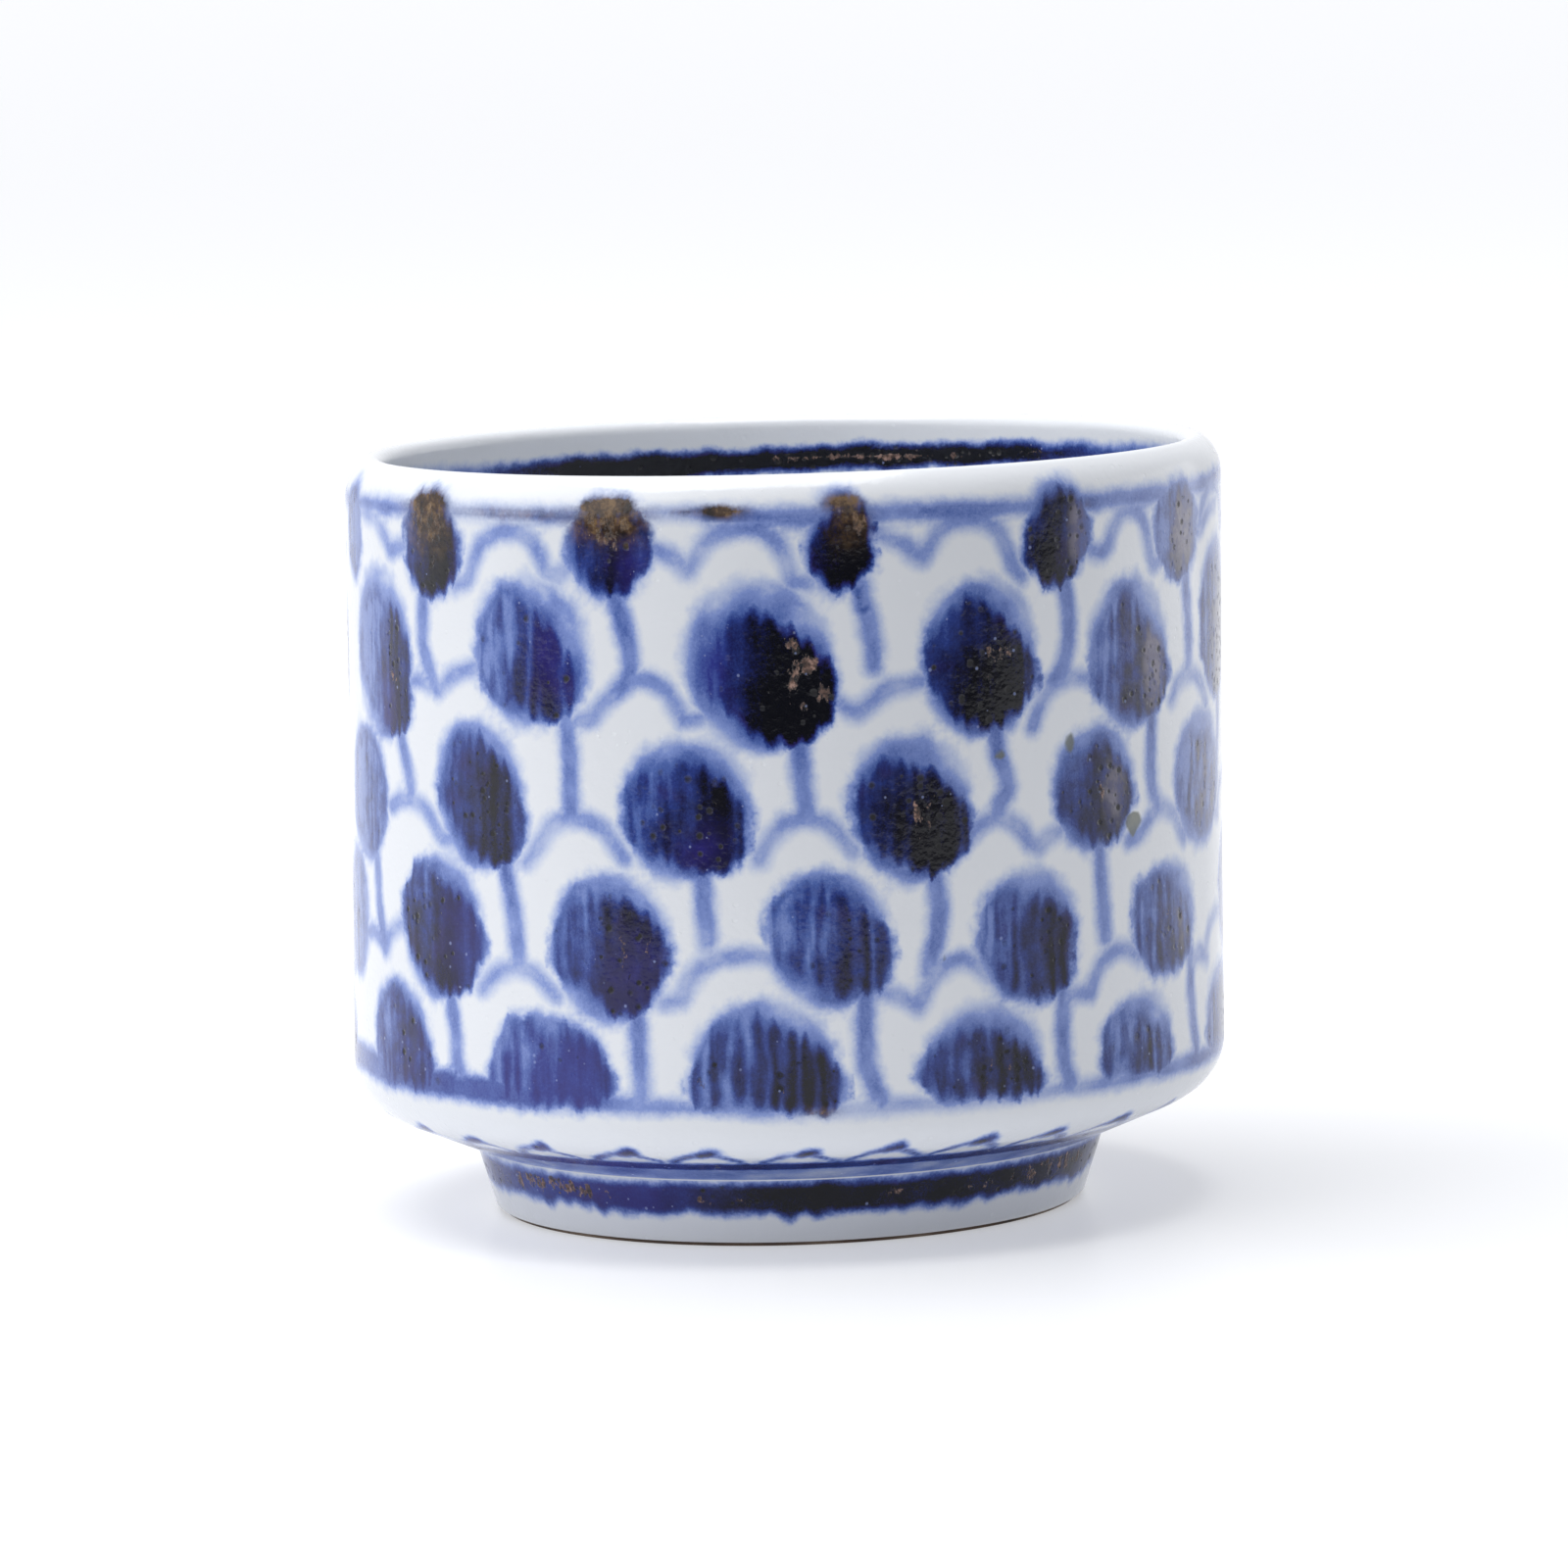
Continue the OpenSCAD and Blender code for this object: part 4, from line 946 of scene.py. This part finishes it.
# %% Rings
# Under the lip
rim_low = wavy([(-74, 49.2), (-45, 49.3), (-28, 49.2), (-14, 49.6), (0, 48.9), (30, 48.9), (60, 48.8), (120, 49),
                (180, 49.1), (-120, 49)]) + ripple(3, 0.08)
rim_high = wavy([(-74, 50.1), (-45, 50.2), (-28, 50.3), (-14, 50.2), (0, 50), (30, 50.1), (60, 49.9), (120, 50),
                 (180, 50.1), (-120, 50)]) + ripple(4, 0.08)
rim_load = wavy([(-74, 0.4), (-55, 0.38), (-44, 0.26), (-30, 0.3), (-15, 0.24), (-8, 0.42), (5, 0.36), (35, 0.34),
                 (60, 0.4), (150, 0.34)])
lay_band(rim_low, rim_high, rim_load, on_wall)

# Over the shoulder, with violet above it on the left
base_low = wavy([(-76, 10.8), (-60, 10.5), (-41, 10.6), (-23, 10.6), (5, 10.3), (31, 10.3), (60, 10.1), (74, 10),
                 (180, 10.3)]) + ripple(5, 0.05)
base_high = wavy([(-76, 12.4), (-41, 12.3), (-23, 11.7), (-6, 11.2), (11, 11.1), (31, 11.1), (60, 11.2), (74, 11.2),
                  (130, 11.4), (180, 11.3), (-130, 11.9)]) + ripple(6, 0.1)
base_load = wavy([(-80, 0.46), (-56, 0.5), (-40, 0.52), (-24, 0.48), (-19, 0.34), (-8, 0.34), (8, 0.26), (31, 0.26),
                  (60, 0.4), (74, 0.44), (130, 0.5), (180, 0.4), (-130, 0.55)])
lay_band(base_low, base_high, base_load, outside & (height > 8))
base_violet = wavy([(-80, 0.4), (-55, 0.6), (-44, 1), (-26, 1), (-22, 0.3), (-16, 0), (90, 0), (150, 0.5),
                    (-120, 0.3)])
marks["violet"] = 0.75 * base_violet * np.clip((17.5 - height) / 3, 0, 1) * outside

# On the foot, with small drips along its lower edge
drips = np.clip(ripple(12, 1, 20, 80) - 1.2, 0, 1.5)
foot_low = 2.45 + ripple(11, 0.12, 6, 90) - 0.22 * drips
foot_high = 4.36 + ripple(13, 0.06, 3, 60)
foot_load = wavy([(-75, 0.6), (-50, 0.66), (-30, 0.74), (-16, 0.84), (-8, 0.92), (5, 1), (30, 0.99), (48, 0.9),
                  (75, 0.84), (120, 0.9), (180, 0.75), (-120, 0.85)])
lay_band(foot_low, foot_high, foot_load, on_foot)
foot_violet = wavy([(-80, 0.3), (-40, 0.9), (-18, 0.6), (-8, 0), (100, 0), (180, 0.6)])
marks["violet"] = np.maximum(marks["violet"], 0.6 * on_foot * foot_violet)

# Inside the lip
inner_low = wavy([(-118, 49), (-143, 48.4), (-159, 48), (-177, 48.45), (171, 48.45), (149, 48.75), (130, 49.15),
                  (100, 49.3), (0, 48.6)]) + ripple(17, 0.1, 3, 50)
inner_high = wavy([(-118, 50), (-131, 49.85), (-143, 49.75), (-159, 49.7), (-177, 49.5), (171, 49.7), (149, 50),
                   (130, 50.25), (108, 50.4), (0, 50)]) + ripple(18, 0.1, 3, 50)
inner_load = wavy([(-110, 0.3), (-128, 0.42), (-138, 0.85), (-150, 1.15), (-170, 1.2), (171, 1.2), (149, 1.15),
                   (135, 0.9), (126, 0.6), (105, 0.5), (0, 0.8)])
lay_band(inner_low, inner_high, inner_load, inside)
print("rings: rim, base, foot and inner band")

# %% Waves on the underside
WAVES = 29
RING_RADIUS = 25.2
CREST_RADIUS = 28.2
FIRST_WAVE = -30.4
PALE_WASH = 1.4
# Half the width in millimetres: of a wave, of the tick on its crest and of the ring
WAVE_LINE, TICK_LINE, RING_LINE = 0.1, 0.36, 0.85
ring_run, crest_run = (along[np.abs(outline[:peak, 0] - reach).argmin()] for reach in (RING_RADIUS, CREST_RADIUS))
under = outside & ~on_foot & (height < 9.6)
wave_step = 360 / WAVES
for wave in range(WAVES):
    first = FIRST_WAVE + wave * wave_step + rng.uniform(-0.5, 0.5)
    crest = crest_run - abs(rng.normal(0, 0.2))
    points = [(first + wave_step * share, ring_run + (crest - ring_run) * math.sin(math.pi * share) ** 0.7)
              for share in np.linspace(0, 1, 9)]
    lay_line(points, WAVE_LINE, rng.uniform(0.78, 0.95), under)
    tick = first + wave_step * rng.uniform(0.5, 0.62)
    lay_line([(tick - 0.7, crest - 0.1), (tick + 0.9, crest + 0.25)], TICK_LINE, 0.95, under)
lay_line([(turn, ring_run) for turn in np.linspace(-180, 180, 73)], RING_LINE, 0.72, under)
pale = under & (run < ring_run) & (marks["line_gap"] > -0.1)
marks["wash_gap"][pale] = np.minimum(marks["wash_gap"][pale], -0.4)
marks["wash_load"][pale] = PALE_WASH
print("waves:", WAVES, "from the ring line at", round(float(ring_run), 2), "to", round(float(crest_run), 2), "mm")

# %% [markdown]
# ## Iron crusts and other patches
# Where the cobalt lies thick, the iron in it comes up through the glaze as brown and tan crusts, most of all
# at the tops of the upper tufts, where the brush was full. Each is a soft patch of iron, which the finish
# breaks up, and real grains lie on the thickest of them below. Slate films, ochre, violet and the few blots
# are patches of the same kind. A film of more than 1 turns into a pale painted sheen, a reflection painted
# into the colour on the right of the cup.

# %% Iron
# Each patch: angle, height, half width, half height and amount
CRUSTS = [
    (-54, 49.2, 1.4, 1.7, 1.05), (-50.6, 49, 1.5, 1.4, 0.95), (-47.5, 48.6, 0.8, 1.2, 0.8),
    (-51.5, 46.6, 2, 1.4, 0.62), (-22.5, 49.3, 2.9, 0.9, 1.15), (-25.6, 48.3, 0.6, 0.9, 1.15),
    (-22.3, 48.1, 0.8, 1, 1.2), (-19.6, 47.3, 0.9, 2, 0.72), (-22.1, 46.4, 0.5, 1.2, 0.66),
    (8.9, 49.2, 0.75, 1.1, 1.15), (6.6, 50.1, 1.5, 0.7, 0.72), (36.8, 47.5, 2, 3.2, 0.5),
    (62, 46.8, 2.4, 3.2, 0.5), (-61.8, 42.4, 0.8, 1.3, 0.72), (-60.5, 38.2, 1.2, 1.6, 0.7),
    (-32, 42, 0.9, 1.2, 0.6), (1.4, 41.2, 1.1, 0.7, 1.1), (2.6, 39.6, 1.2, 1.3, 1.1), (4.4, 38, 0.8, 0.9, 1.3),
    (0.4, 38.8, 1, 1.3, 1), (1.6, 37.4, 1.2, 0.9, 0.8), (27.2, 40, 1.6, 1.3, 0.84), (26.4, 38.3, 1.4, 0.9, 0.76),
    (52, 38.5, 2.4, 3.6, 0.5), (-41, 30.6, 2.4, 2.2, 0.6), (-9.1, 30.4, 0.5, 1.4, 0.9),
    (-9.2, 28.3, 1.5, 1.7, 0.68), (17.4, 29.6, 1.6, 1.8, 0.82), (43.9, 29.8, 0.6, 1.4, 1),
    (44.8, 29.2, 2, 2.6, 0.6), (70, 29.4, 3, 3.2, 0.45), (-50, 21, 1.6, 3.2, 0.5), (-56.5, 21.8, 1.2, 2.6, 0.5),
    (-21.3, 21.3, 0.6, 2.6, 0.74), (-18, 21.5, 0.45, 1.6, 0.86), (8.4, 20.6, 1.2, 2, 0.55),
    (35.6, 20.2, 1.3, 2.6, 0.6), (60, 20.4, 1.8, 2.4, 0.62), (-58, 14.4, 1.8, 2.2, 0.45),
    (-11.3, 12.7, 0.5, 1.2, 0.82), (3.8, 10.6, 1, 0.5, 1.2), (0.2, 12.2, 1.4, 1.4, 0.5),
    (27, 12.6, 1.8, 1.4, 0.66), (53.4, 13, 0.7, 1.3, 0.6), (45, 12.2, 0.4, 1.4, 0.6),
]
FOOT_CRUSTS = [
    (-52, 3.6, 7, 0.9, 1.15), (-42, 3.3, 3.6, 0.6, 0.9), (-9, 3.2, 0.8, 0.5, 1.2), (-16, 3.3, 0.8, 0.5, 1.1),
    (37, 3.3, 2, 0.5, 0.95), (58, 3.6, 6, 0.9, 1.1), (20, 3.4, 1.2, 0.5, 0.9),
]
# Films of more than 1 are painted sheen, a pale reflection painted on the right of the cup
FILMS_AND_SHEENS = [
    (-76, 47.8, 3, 4, 1), (-51, 47, 3, 3.4, 0.6), (-20, 47.2, 2.4, 3, 0.5), (6.8, 48.4, 1.6, 2, 0.1),
    (38, 47.5, 2.4, 3.6, 1), (62, 46.8, 3.2, 4, 1), (-60.6, 38.6, 2.6, 4.4, 0.525), (-70, 39, 3, 5, 0.45),
    (-32.4, 40.6, 1.8, 3, 0.3375), (25.6, 39.6, 3.6, 4.2, 0.55), (52.6, 38.2, 2.8, 4.6, 1), (-71, 30, 4, 5, 0.6),
    (-40.8, 30.4, 3, 3.6, 0.6375), (-10.5, 29.6, 3.2, 3.8, 0.6), (17, 29.8, 3.4, 4, 0.95), (44.2, 30, 3.4, 4, 1),
    (70, 29.6, 5, 5, 0.9), (-78, 22, 4, 5, 0.75), (-53.5, 21.6, 3.6, 4.4, 0.7125), (-20.6, 21, 3.2, 4, 0.5625),
    (8.6, 21, 2.4, 3.4, 0.4125), (34.8, 20.4, 2.6, 3.8, 0.8), (60, 20.6, 3.4, 3.6, 1), (-59, 14, 4, 3.4, 0.5625),
    (-10.2, 12.5, 1.6, 2.4, 0.6), (1.2, 12.4, 2.8, 2.6, 0.4125), (28.2, 12.8, 3.4, 2.8, 0.9),
    (53.6, 12.6, 2.8, 2.6, 0.9), (45, 12.6, 0.9, 2.2, 0.7), (40.4, 47.4, 1.8, 3.8, 1.75),
    (62.5, 46.8, 3.4, 4.6, 1.6), (54.6, 38, 1.9, 4.8, 1.7), (46.2, 30, 1.9, 3.8, 1.5), (71, 29.6, 4.6, 5.2, 1.5),
    (61.6, 20.4, 1.8, 3.6, 1.4), (80, 38, 4, 6, 1.6),
]
OCHRES = [
    (-52, 50.3, 2.4, 0.9, 1.1), (-52, 48.8, 2.2, 1.6, 0.8), (-37, 49.8, 6.5, 0.5, 0.55),
    (-22.4, 50.4, 2.7, 0.6, 1.3), (-22.4, 49.2, 2.9, 1.1, 1), (-8, 50.1, 1.4, 0.5, 1.3),
    (-12.8, 50, 0.8, 0.3, 0.7), (7.4, 50.4, 1.4, 0.5, 1), (8.2, 49, 1.2, 1.2, 0.6), (3.8, 10.4, 1.2, 0.4, 0.6),
]
VIOLETS = [
    (-9.7, 40, 1, 2.6, 1), (-31, 41, 1.6, 2.6, 0.8), (-19, 46.5, 1.2, 2, 0.8), (-63, 36.5, 1.4, 2.2, 0.8),
    (-46, 22, 2.6, 3.4, 0.6), (-20, 19.5, 2.6, 3, 0.6), (-11, 28, 1.6, 1.6, 0.7),
]
BLOTS = [
    (50, 27.8, 0.85, 0.6, 1), (49.8, 27.3, 0.4, 0.5, 1), (27.6, 33.3, 0.5, 0.4, 0.7), (38.3, 33.6, 0.5, 0.8, 0.7),
    (19.8, 20.3, 0.3, 0.3, 0.6),
]


def lay_patch(name, patch, where):
    at, level, half_width, half_height, amount = patch
    x = np.radians(around(angle, at)) * radius
    soft = np.exp(-((x / half_width) ** 2 + ((height - level) / half_height) ** 2) ** 1.2 * 0.8)
    marks[name] = np.where(where, np.maximum(marks[name], amount * soft), marks[name])


for name, patches, where in (("iron", CRUSTS, on_wall), ("iron", FOOT_CRUSTS, on_foot), ("ochre", OCHRES, on_wall),
                             ("film_and_sheen", FILMS_AND_SHEENS, on_wall), ("blot", BLOTS, on_wall), ("violet", VIOLETS, on_wall)):
    for patch in patches:
        lay_patch(name, patch, where)
for tuft in back_tufts:
    lay_patch("film_and_sheen", (tuft.at + 2, tuft.level - 0.5, 3.0, 3.8, rng.uniform(0.3, 1.0)), on_wall)
    if tuft.row == 0:
        lay_patch("iron", (tuft.at, 49.2, 2.0, 1.2, rng.uniform(0.7, 1.15)), on_wall)
        lay_patch("iron", (tuft.at + rng.uniform(-3, 3), 48.2, 0.6, 1.0, rng.uniform(0.8, 1.2)), on_wall)
        lay_patch("ochre", (tuft.at, 50.5, 1.8, 0.5, rng.uniform(0.3, 0.9)), on_wall)
    else:
        lay_patch("iron", (tuft.at + rng.uniform(0, 4), tuft.level + rng.uniform(-2, 0.5), rng.uniform(1, 2),
                           rng.uniform(1.4, 2.4), rng.uniform(0.45, 0.85)), on_wall)

# The inner band's iron lies along its middle, and iron is thin where the colour is thin
middle_of_band = np.clip(1 - np.abs(height - (inner_low + inner_high) / 2) / 0.55, 0, 1)
inner_iron = wavy([(-180, 0.75), (170, 1.15), (150, 1.2), (128, 0.4), (0, 0.6), (-150, 0.5)])
inner_iron = np.clip(ripple(21, 0.25, 2, 24) + inner_iron, 0, 1.4)
marks["iron"] = np.where(inside & (height > 46), inner_iron * middle_of_band, marks["iron"])
marks["iron"] *= np.clip(0.9 - np.minimum(marks["stroke_gap"], marks["line_gap"]), 0.25, 1)
band_film = 0.6 * np.clip(ripple(31, 0.6, 2, 20) + 0.4, 0, 1)
marks["film_and_sheen"] = np.maximum(marks["film_and_sheen"], np.where(on_foot | inside, band_film, 0))
for name, values in marks.items():
    layer = thrown_cup.data.attributes.new(name, "FLOAT", "POINT")
    layer.data.foreach_set("value", values.astype(np.float32))
print("layers painted:", sorted(marks))

# %% [markdown]
# ## Bare clay and the well
# Potters wipe the glaze off the lower edge of the foot, or the cup would stick to the kiln shelf. The clay
# there is matt and toasted a little by the fire, and its colour is also kept dark as painted shade, standing in
# for the thin contact shadow under the foot. The well inside the foot is glazed again.

# %% Clay and well finishes


def bare_clay():
    material, tree = new_material("bare_clay")
    grit, toast_and_shade = tree.noise(3.0, 5.0), tree.noise(0.25)
    # The darkest browns are partly painted shade, for the contact shadow where the foot meets the table
    colour = tree.ramp(toast_and_shade, [(0.3, (120, 104, 90)), (0.5, (84, 66, 54)), (0.7, (52, 40, 34))])
    dots = tree.use(specks, spacing=0.8, size=0.25, share=0.3)[0]
    colour = tree.mix(tree.times(dots, 0.6), colour, linear(70, 52, 40))
    dress(tree, {"Base Color": colour, "Roughness": tree.plus(0.65, tree.times(grit, 0.25))},
          grit, strength=0.5, depth=0.12)
    return material


def clear_glaze():
    material, tree = new_material("clear_glaze")
    colour = tree.ramp(tree.noise(0.2), [(0.3, (216, 221, 232)), (0.7, (231, 233, 240))])
    dots = tree.use(specks, spacing=2.6, size=0.07, share=0.4)[0]
    colour = tree.mix(tree.times(dots, 0.7), colour, linear(92, 82, 76))
    skin = tree.use(glaze_skin, peel=0.45, gloss=0.1)
    dress(tree, {"Base Color": colour, "Roughness": skin["Roughness"]}, skin["Height"], strength=0.35, depth=0.1)
    return material


clay = bare_clay()
well_glaze = clear_glaze()
print("finishes:", clay.name, "and", well_glaze.name)

# %% Foot rim and well
# The rim's edges, how far it is rounded and how high it reaches up into the glazed foot
RIM_INNER = WELL_RADIUS + 0.3
RIM_OUTER = FOOT_BASE_RADIUS - 0.2
RIM_ROUND = 0.22
RIM_TOP = 0.9
foot_rim_section = [(RIM_INNER, RIM_TOP), (RIM_INNER, RIM_ROUND)]
foot_rim_section += arc((RIM_INNER + RIM_ROUND, RIM_ROUND, RIM_ROUND), math.pi, 1.5 * math.pi, 0.06)
foot_rim_section += line((RIM_INNER + RIM_ROUND, 0), (RIM_OUTER - RIM_ROUND, 0), 0.7)
foot_rim_section += arc((RIM_OUTER - RIM_ROUND, RIM_ROUND, RIM_ROUND), 1.5 * math.pi, 2 * math.pi, 0.06)
foot_rim_section += [(RIM_OUTER, RIM_ROUND), (RIM_OUTER + 0.1, BARE_HEIGHT), (RIM_OUTER + 0.1, RIM_TOP),
                     (RIM_INNER, RIM_TOP)]
foot_rim = throw("turned_foot_rim", foot_rim_section, 240, clay, unevenness=0.08 * MM)

# The well's glaze is a shell: over its ceiling, down its side and back behind it
WELL_CEILING = 4.6
WELL_ROUND = 0.5
WELL_BACK = WELL_RADIUS + 0.28
BACK_TOP = 4.89
well_section = line((0, WELL_CEILING), (WELL_RADIUS - WELL_ROUND, WELL_CEILING), 2.0)
well_section += arc((WELL_RADIUS - WELL_ROUND, WELL_CEILING - WELL_ROUND, WELL_ROUND), math.pi / 2, 0, 0.2)
well_section += line((WELL_RADIUS, WELL_CEILING - WELL_ROUND), (WELL_RADIUS, BARE_HEIGHT), 0.6)
well_section += [(WELL_RADIUS, BARE_HEIGHT), (WELL_BACK, BARE_HEIGHT - 0.02), (WELL_BACK, BACK_TOP), (0, BACK_TOP)]
well = throw("glazed_well", well_section, 200, well_glaze)

# %% [markdown]
# ## Grains of iron
# A crust is rough to the touch: small dark and tan grains sit in the glaze. Geometry Nodes scatter a few low
# pebbles where the iron value on the cup is highest, each turned and sized from a fixed seed. The pebbles
# are half sunk, so that they read as part of the skin.

# %% Grain finish and scatter
GRAIN_LEAST_IRON = 1.15
GRAIN_DENSITY = 4.0e6
GRAIN_SIZE = 0.1 * MM
FACES_PER_GRAIN = 20


def iron_crust_finish():
    material, tree = new_material("iron_crust")
    colour = tree.ramp(tree.noise(1.4, 3.0), [(0.38, (18, 15, 18)), (0.48, (58, 45, 42)), (0.56, (96, 76, 70)),
                                              (0.68, (150, 122, 112))])
    grit = tree.noise(9.0)
    dress(tree, {"Base Color": colour, "Roughness": tree.plus(0.32, tree.times(grit, 0.3))},
          grit, strength=0.4, depth=0.05)
    return material


def build_grains():
    tree, given = new_group("Geometry", "grains", {
        "Skin": "Geometry", "Density": 1.0, "Size": 0.0002, "Seed": 1, "Material": "Material"}, ["Grains"], "Geometry")
    iron = tree.put("GeometryNodeInputNamedAttribute", {"Name": "iron"}, data_type="FLOAT").outputs[0]
    tree.where = tree.put("GeometryNodeInputPosition").outputs[0]
    cluster = tree.noise(1.5 / MM)
    amount = tree.plus(tree.minus(iron, GRAIN_LEAST_IRON), tree.about(cluster))
    points = tree.put("GeometryNodeDistributePointsOnFaces", {
        "Mesh": given["Skin"], "Density": tree.times(tree.times(amount, 4.0, clamp=True), given["Density"]),
        "Seed": given["Seed"]}).outputs
    grain = tree.put("GeometryNodeMeshIcoSphere", {"Radius": 1.0, "Subdivisions": 1})
    spread = tree.put("FunctionNodeRandomValue", {
        0: (0.5, 0.5, 0.25), 1: (1.5, 1.2, 0.55), "Seed": given["Seed"]}, data_type="FLOAT_VECTOR")
    scale = tree.vector("SCALE", {0: spread.outputs[0], 3: given["Size"]})
    spin = tree.put("FunctionNodeRandomValue", {2: 0.0, 3: 6.28, "Seed": 5}, data_type="FLOAT")
    spin = tree.put("ShaderNodeCombineXYZ", {"Z": spin.outputs[1]})
    turned = tree.put("FunctionNodeRotateRotation", {0: points["Rotation"], 1: spin.outputs[0]},
                      rotation_space="LOCAL")
    placed = tree.put("GeometryNodeInstanceOnPoints", {
        "Points": points["Points"], "Instance": grain.outputs["Mesh"], "Rotation": turned.outputs[0],
        "Scale": scale})
    smooth = tree.put("GeometryNodeSetShadeSmooth", {"Geometry": placed.outputs[0]})
    return close_geometry(tree, smooth.outputs[0], given["Material"])


grains = run_group(build_grains(), thrown_cup.data.copy(), "iron_grains", {
    "Density": GRAIN_DENSITY, "Size": GRAIN_SIZE, "Seed": 7, "Material": iron_crust_finish()})
print("grains:", len(grains.data.polygons) // FACES_PER_GRAIN, "faces", len(grains.data.polygons))

# %% [markdown]
# ## Table and light
# The cup stands on a white table in a bright studio. A broad lamp on the left lights that side and throws the
# soft shadow to the right, a lamp overhead whitens the table, and a small pale card on the right lifts that
# edge and lies in the glaze as a grey sheen. The table glows with painted light of its own, as a lit backdrop
# does: the glow is weaker beside the cup, a painted shadow where its shadow falls, and stronger further off. It
# also lights the cup from below, less so close to the foot, which is painted shade there. In front of the table
# the room is dark, so the front glaze mirrors darkness and the colours there look deep. The world looks white to
# the camera and in mirrors, and lights the cup faintly.

# %% Table and light
TABLE_REACH = 9.0
TABLE_FRONT = 0.2
TABLE_COLOUR = (0.48, 0.484, 0.493, 1)
TABLE_GLOW_COLOUR = (0.965, 0.975, 1, 1)
TABLE_GLOW_NEAR = 0.39
TABLE_GLOW_FAR = 0.59
TABLE_GIVES = 1.08
# Middle of the painted shadow in the table's glow, and the stretches over which the glow grows from it and from the
# foot
SHADE_MIDDLE = (46.0, -8.0, 0.0)
SHADE_STRETCH = (18.0, 120.0)
FOOT_STRETCH = (19.0, 36.0)
GIVEN_AT_FOOT = 0.5
ROOM_REACH = 3
ROOM_HEIGHT = -0.05
ROOM_COLOUR = (0.03, 0.03, 0.035, 1)
WORLD_COLOUR = (0.955, 0.965, 1.0, 1)
AMBIENT = 0.205


def plane(name, reach, front, back, level, material):
    mesh = bpy.data.meshes.new(name)
    mesh.from_pydata([(-reach, front, level), (reach, front, level), (reach, back, level), (-reach, back, level)],
                     [], [(0, 1, 2, 3)])
    mesh.materials.append(material)
    obj = bpy.data.objects.new(name, mesh)
    scene.collection.objects.link(obj)


def seen_or_given(tree, given, seen):
    """One value for rays that see the thing itself or in a mirror, another for the light that it gives."""
    path = tree.put("ShaderNodeLightPath").outputs
    sees = tree.chain("MAXIMUM", [path[f"Is {kind} Ray"] for kind in ("Camera", "Glossy", "Transmission")], False)
    return tree.put("ShaderNodeMix", {0: sees, 2: given, 3: seen}, data_type="FLOAT").outputs[0]


def table_finish():
    material, tree = new_material("table")
    # The table's glow is painted light, with a painted shadow beside the cup and painted shade near the foot
    away = tree.vector("LENGTH", {0: tree.vector("SUBTRACT", {0: tree.where, 1: SHADE_MIDDLE})}, "Value")
    glow = tree.span(away, *SHADE_STRETCH, TABLE_GLOW_NEAR, TABLE_GLOW_FAR)
    close = tree.span(tree.vector("LENGTH", {0: tree.where}, "Value"), *FOOT_STRETCH, GIVEN_AT_FOOT, 1.0)
    strength = tree.times(seen_or_given(tree, tree.times(close, TABLE_GIVES), 1.0), glow)
    dress(tree, {"Base Color": TABLE_COLOUR, "Roughness": 0.3, "IOR": 1.15, "Emission Color": TABLE_GLOW_COLOUR,
                 "Emission Strength": strength})
    return material


def room_finish():
    material, tree = new_material("room_floor")
    dress(tree, {"Base Color": ROOM_COLOUR, "Roughness": 0.9})
    return material


def add_lamp(name, azimuth, elevation, distance, size, power):
    """A flat lamp aimed at the cup's foot. Azimuth 0 is the camera's side and plus is to the right."""
    data = bpy.data.lights.new(name, "AREA")
    data.shape = "RECTANGLE"
    data.size, data.size_y = size
    data.energy = power
    lamp = bpy.data.objects.new(name, data)
    turn, rise = math.radians(azimuth), math.radians(elevation)
    place = Vector((math.sin(turn) * math.cos(rise), -math.cos(turn) * math.cos(rise), math.sin(rise))) * distance
    lamp.matrix_world = Matrix.Translation(place) @ (-place).to_track_quat("-Z", "Y").to_matrix().to_4x4()
    scene.collection.objects.link(lamp)
    return lamp


def make_world():
    world = bpy.data.worlds.new("studio")
    scene.world = world
    world.use_nodes = True
    tree = Tree(world.node_tree)
    back = tree.data.nodes["Background"].inputs
    tree.fill(back["Color"], WORLD_COLOUR)
    tree.fill(back["Strength"], seen_or_given(tree, AMBIENT, 1.0))


plane("table", TABLE_REACH, -TABLE_FRONT, TABLE_REACH, 0, table_finish())
plane("room_floor", ROOM_REACH, -ROOM_REACH, -TABLE_FRONT, ROOM_HEIGHT, room_finish())
make_world()
lamps = [
    add_lamp("key", -68, 30, 0.9, (0.9, 0.9), 3.4),
    add_lamp("top", -85, 82, 1.0, (0.8, 0.8), 10.8),
    add_lamp("card", 112, 9, 0.35, (0.3, 0.2), 0.16),
]
scene.view_settings.view_transform = "Standard"
print("lamps:", [(lamp.name, round(lamp.data.energy, 2)) for lamp in lamps])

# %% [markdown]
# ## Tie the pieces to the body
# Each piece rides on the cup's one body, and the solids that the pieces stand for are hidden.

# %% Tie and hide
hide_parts("cup_wall", "cup_floor", "glaze_coat", "cobalt_tufts", "tuft_stems", "rim_line",
            "base_line", "foot_line", "foot_band", "inner_band")
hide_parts("foot_ring")
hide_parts("foot_well_glaze")
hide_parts("iron_crust")
for piece, slot in ((thrown_cup, "clear_glaze"), (foot_rim, "bare_clay"), (well, "clear_glaze"),
                    (grains, "iron_brown")):
    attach(piece, "root")
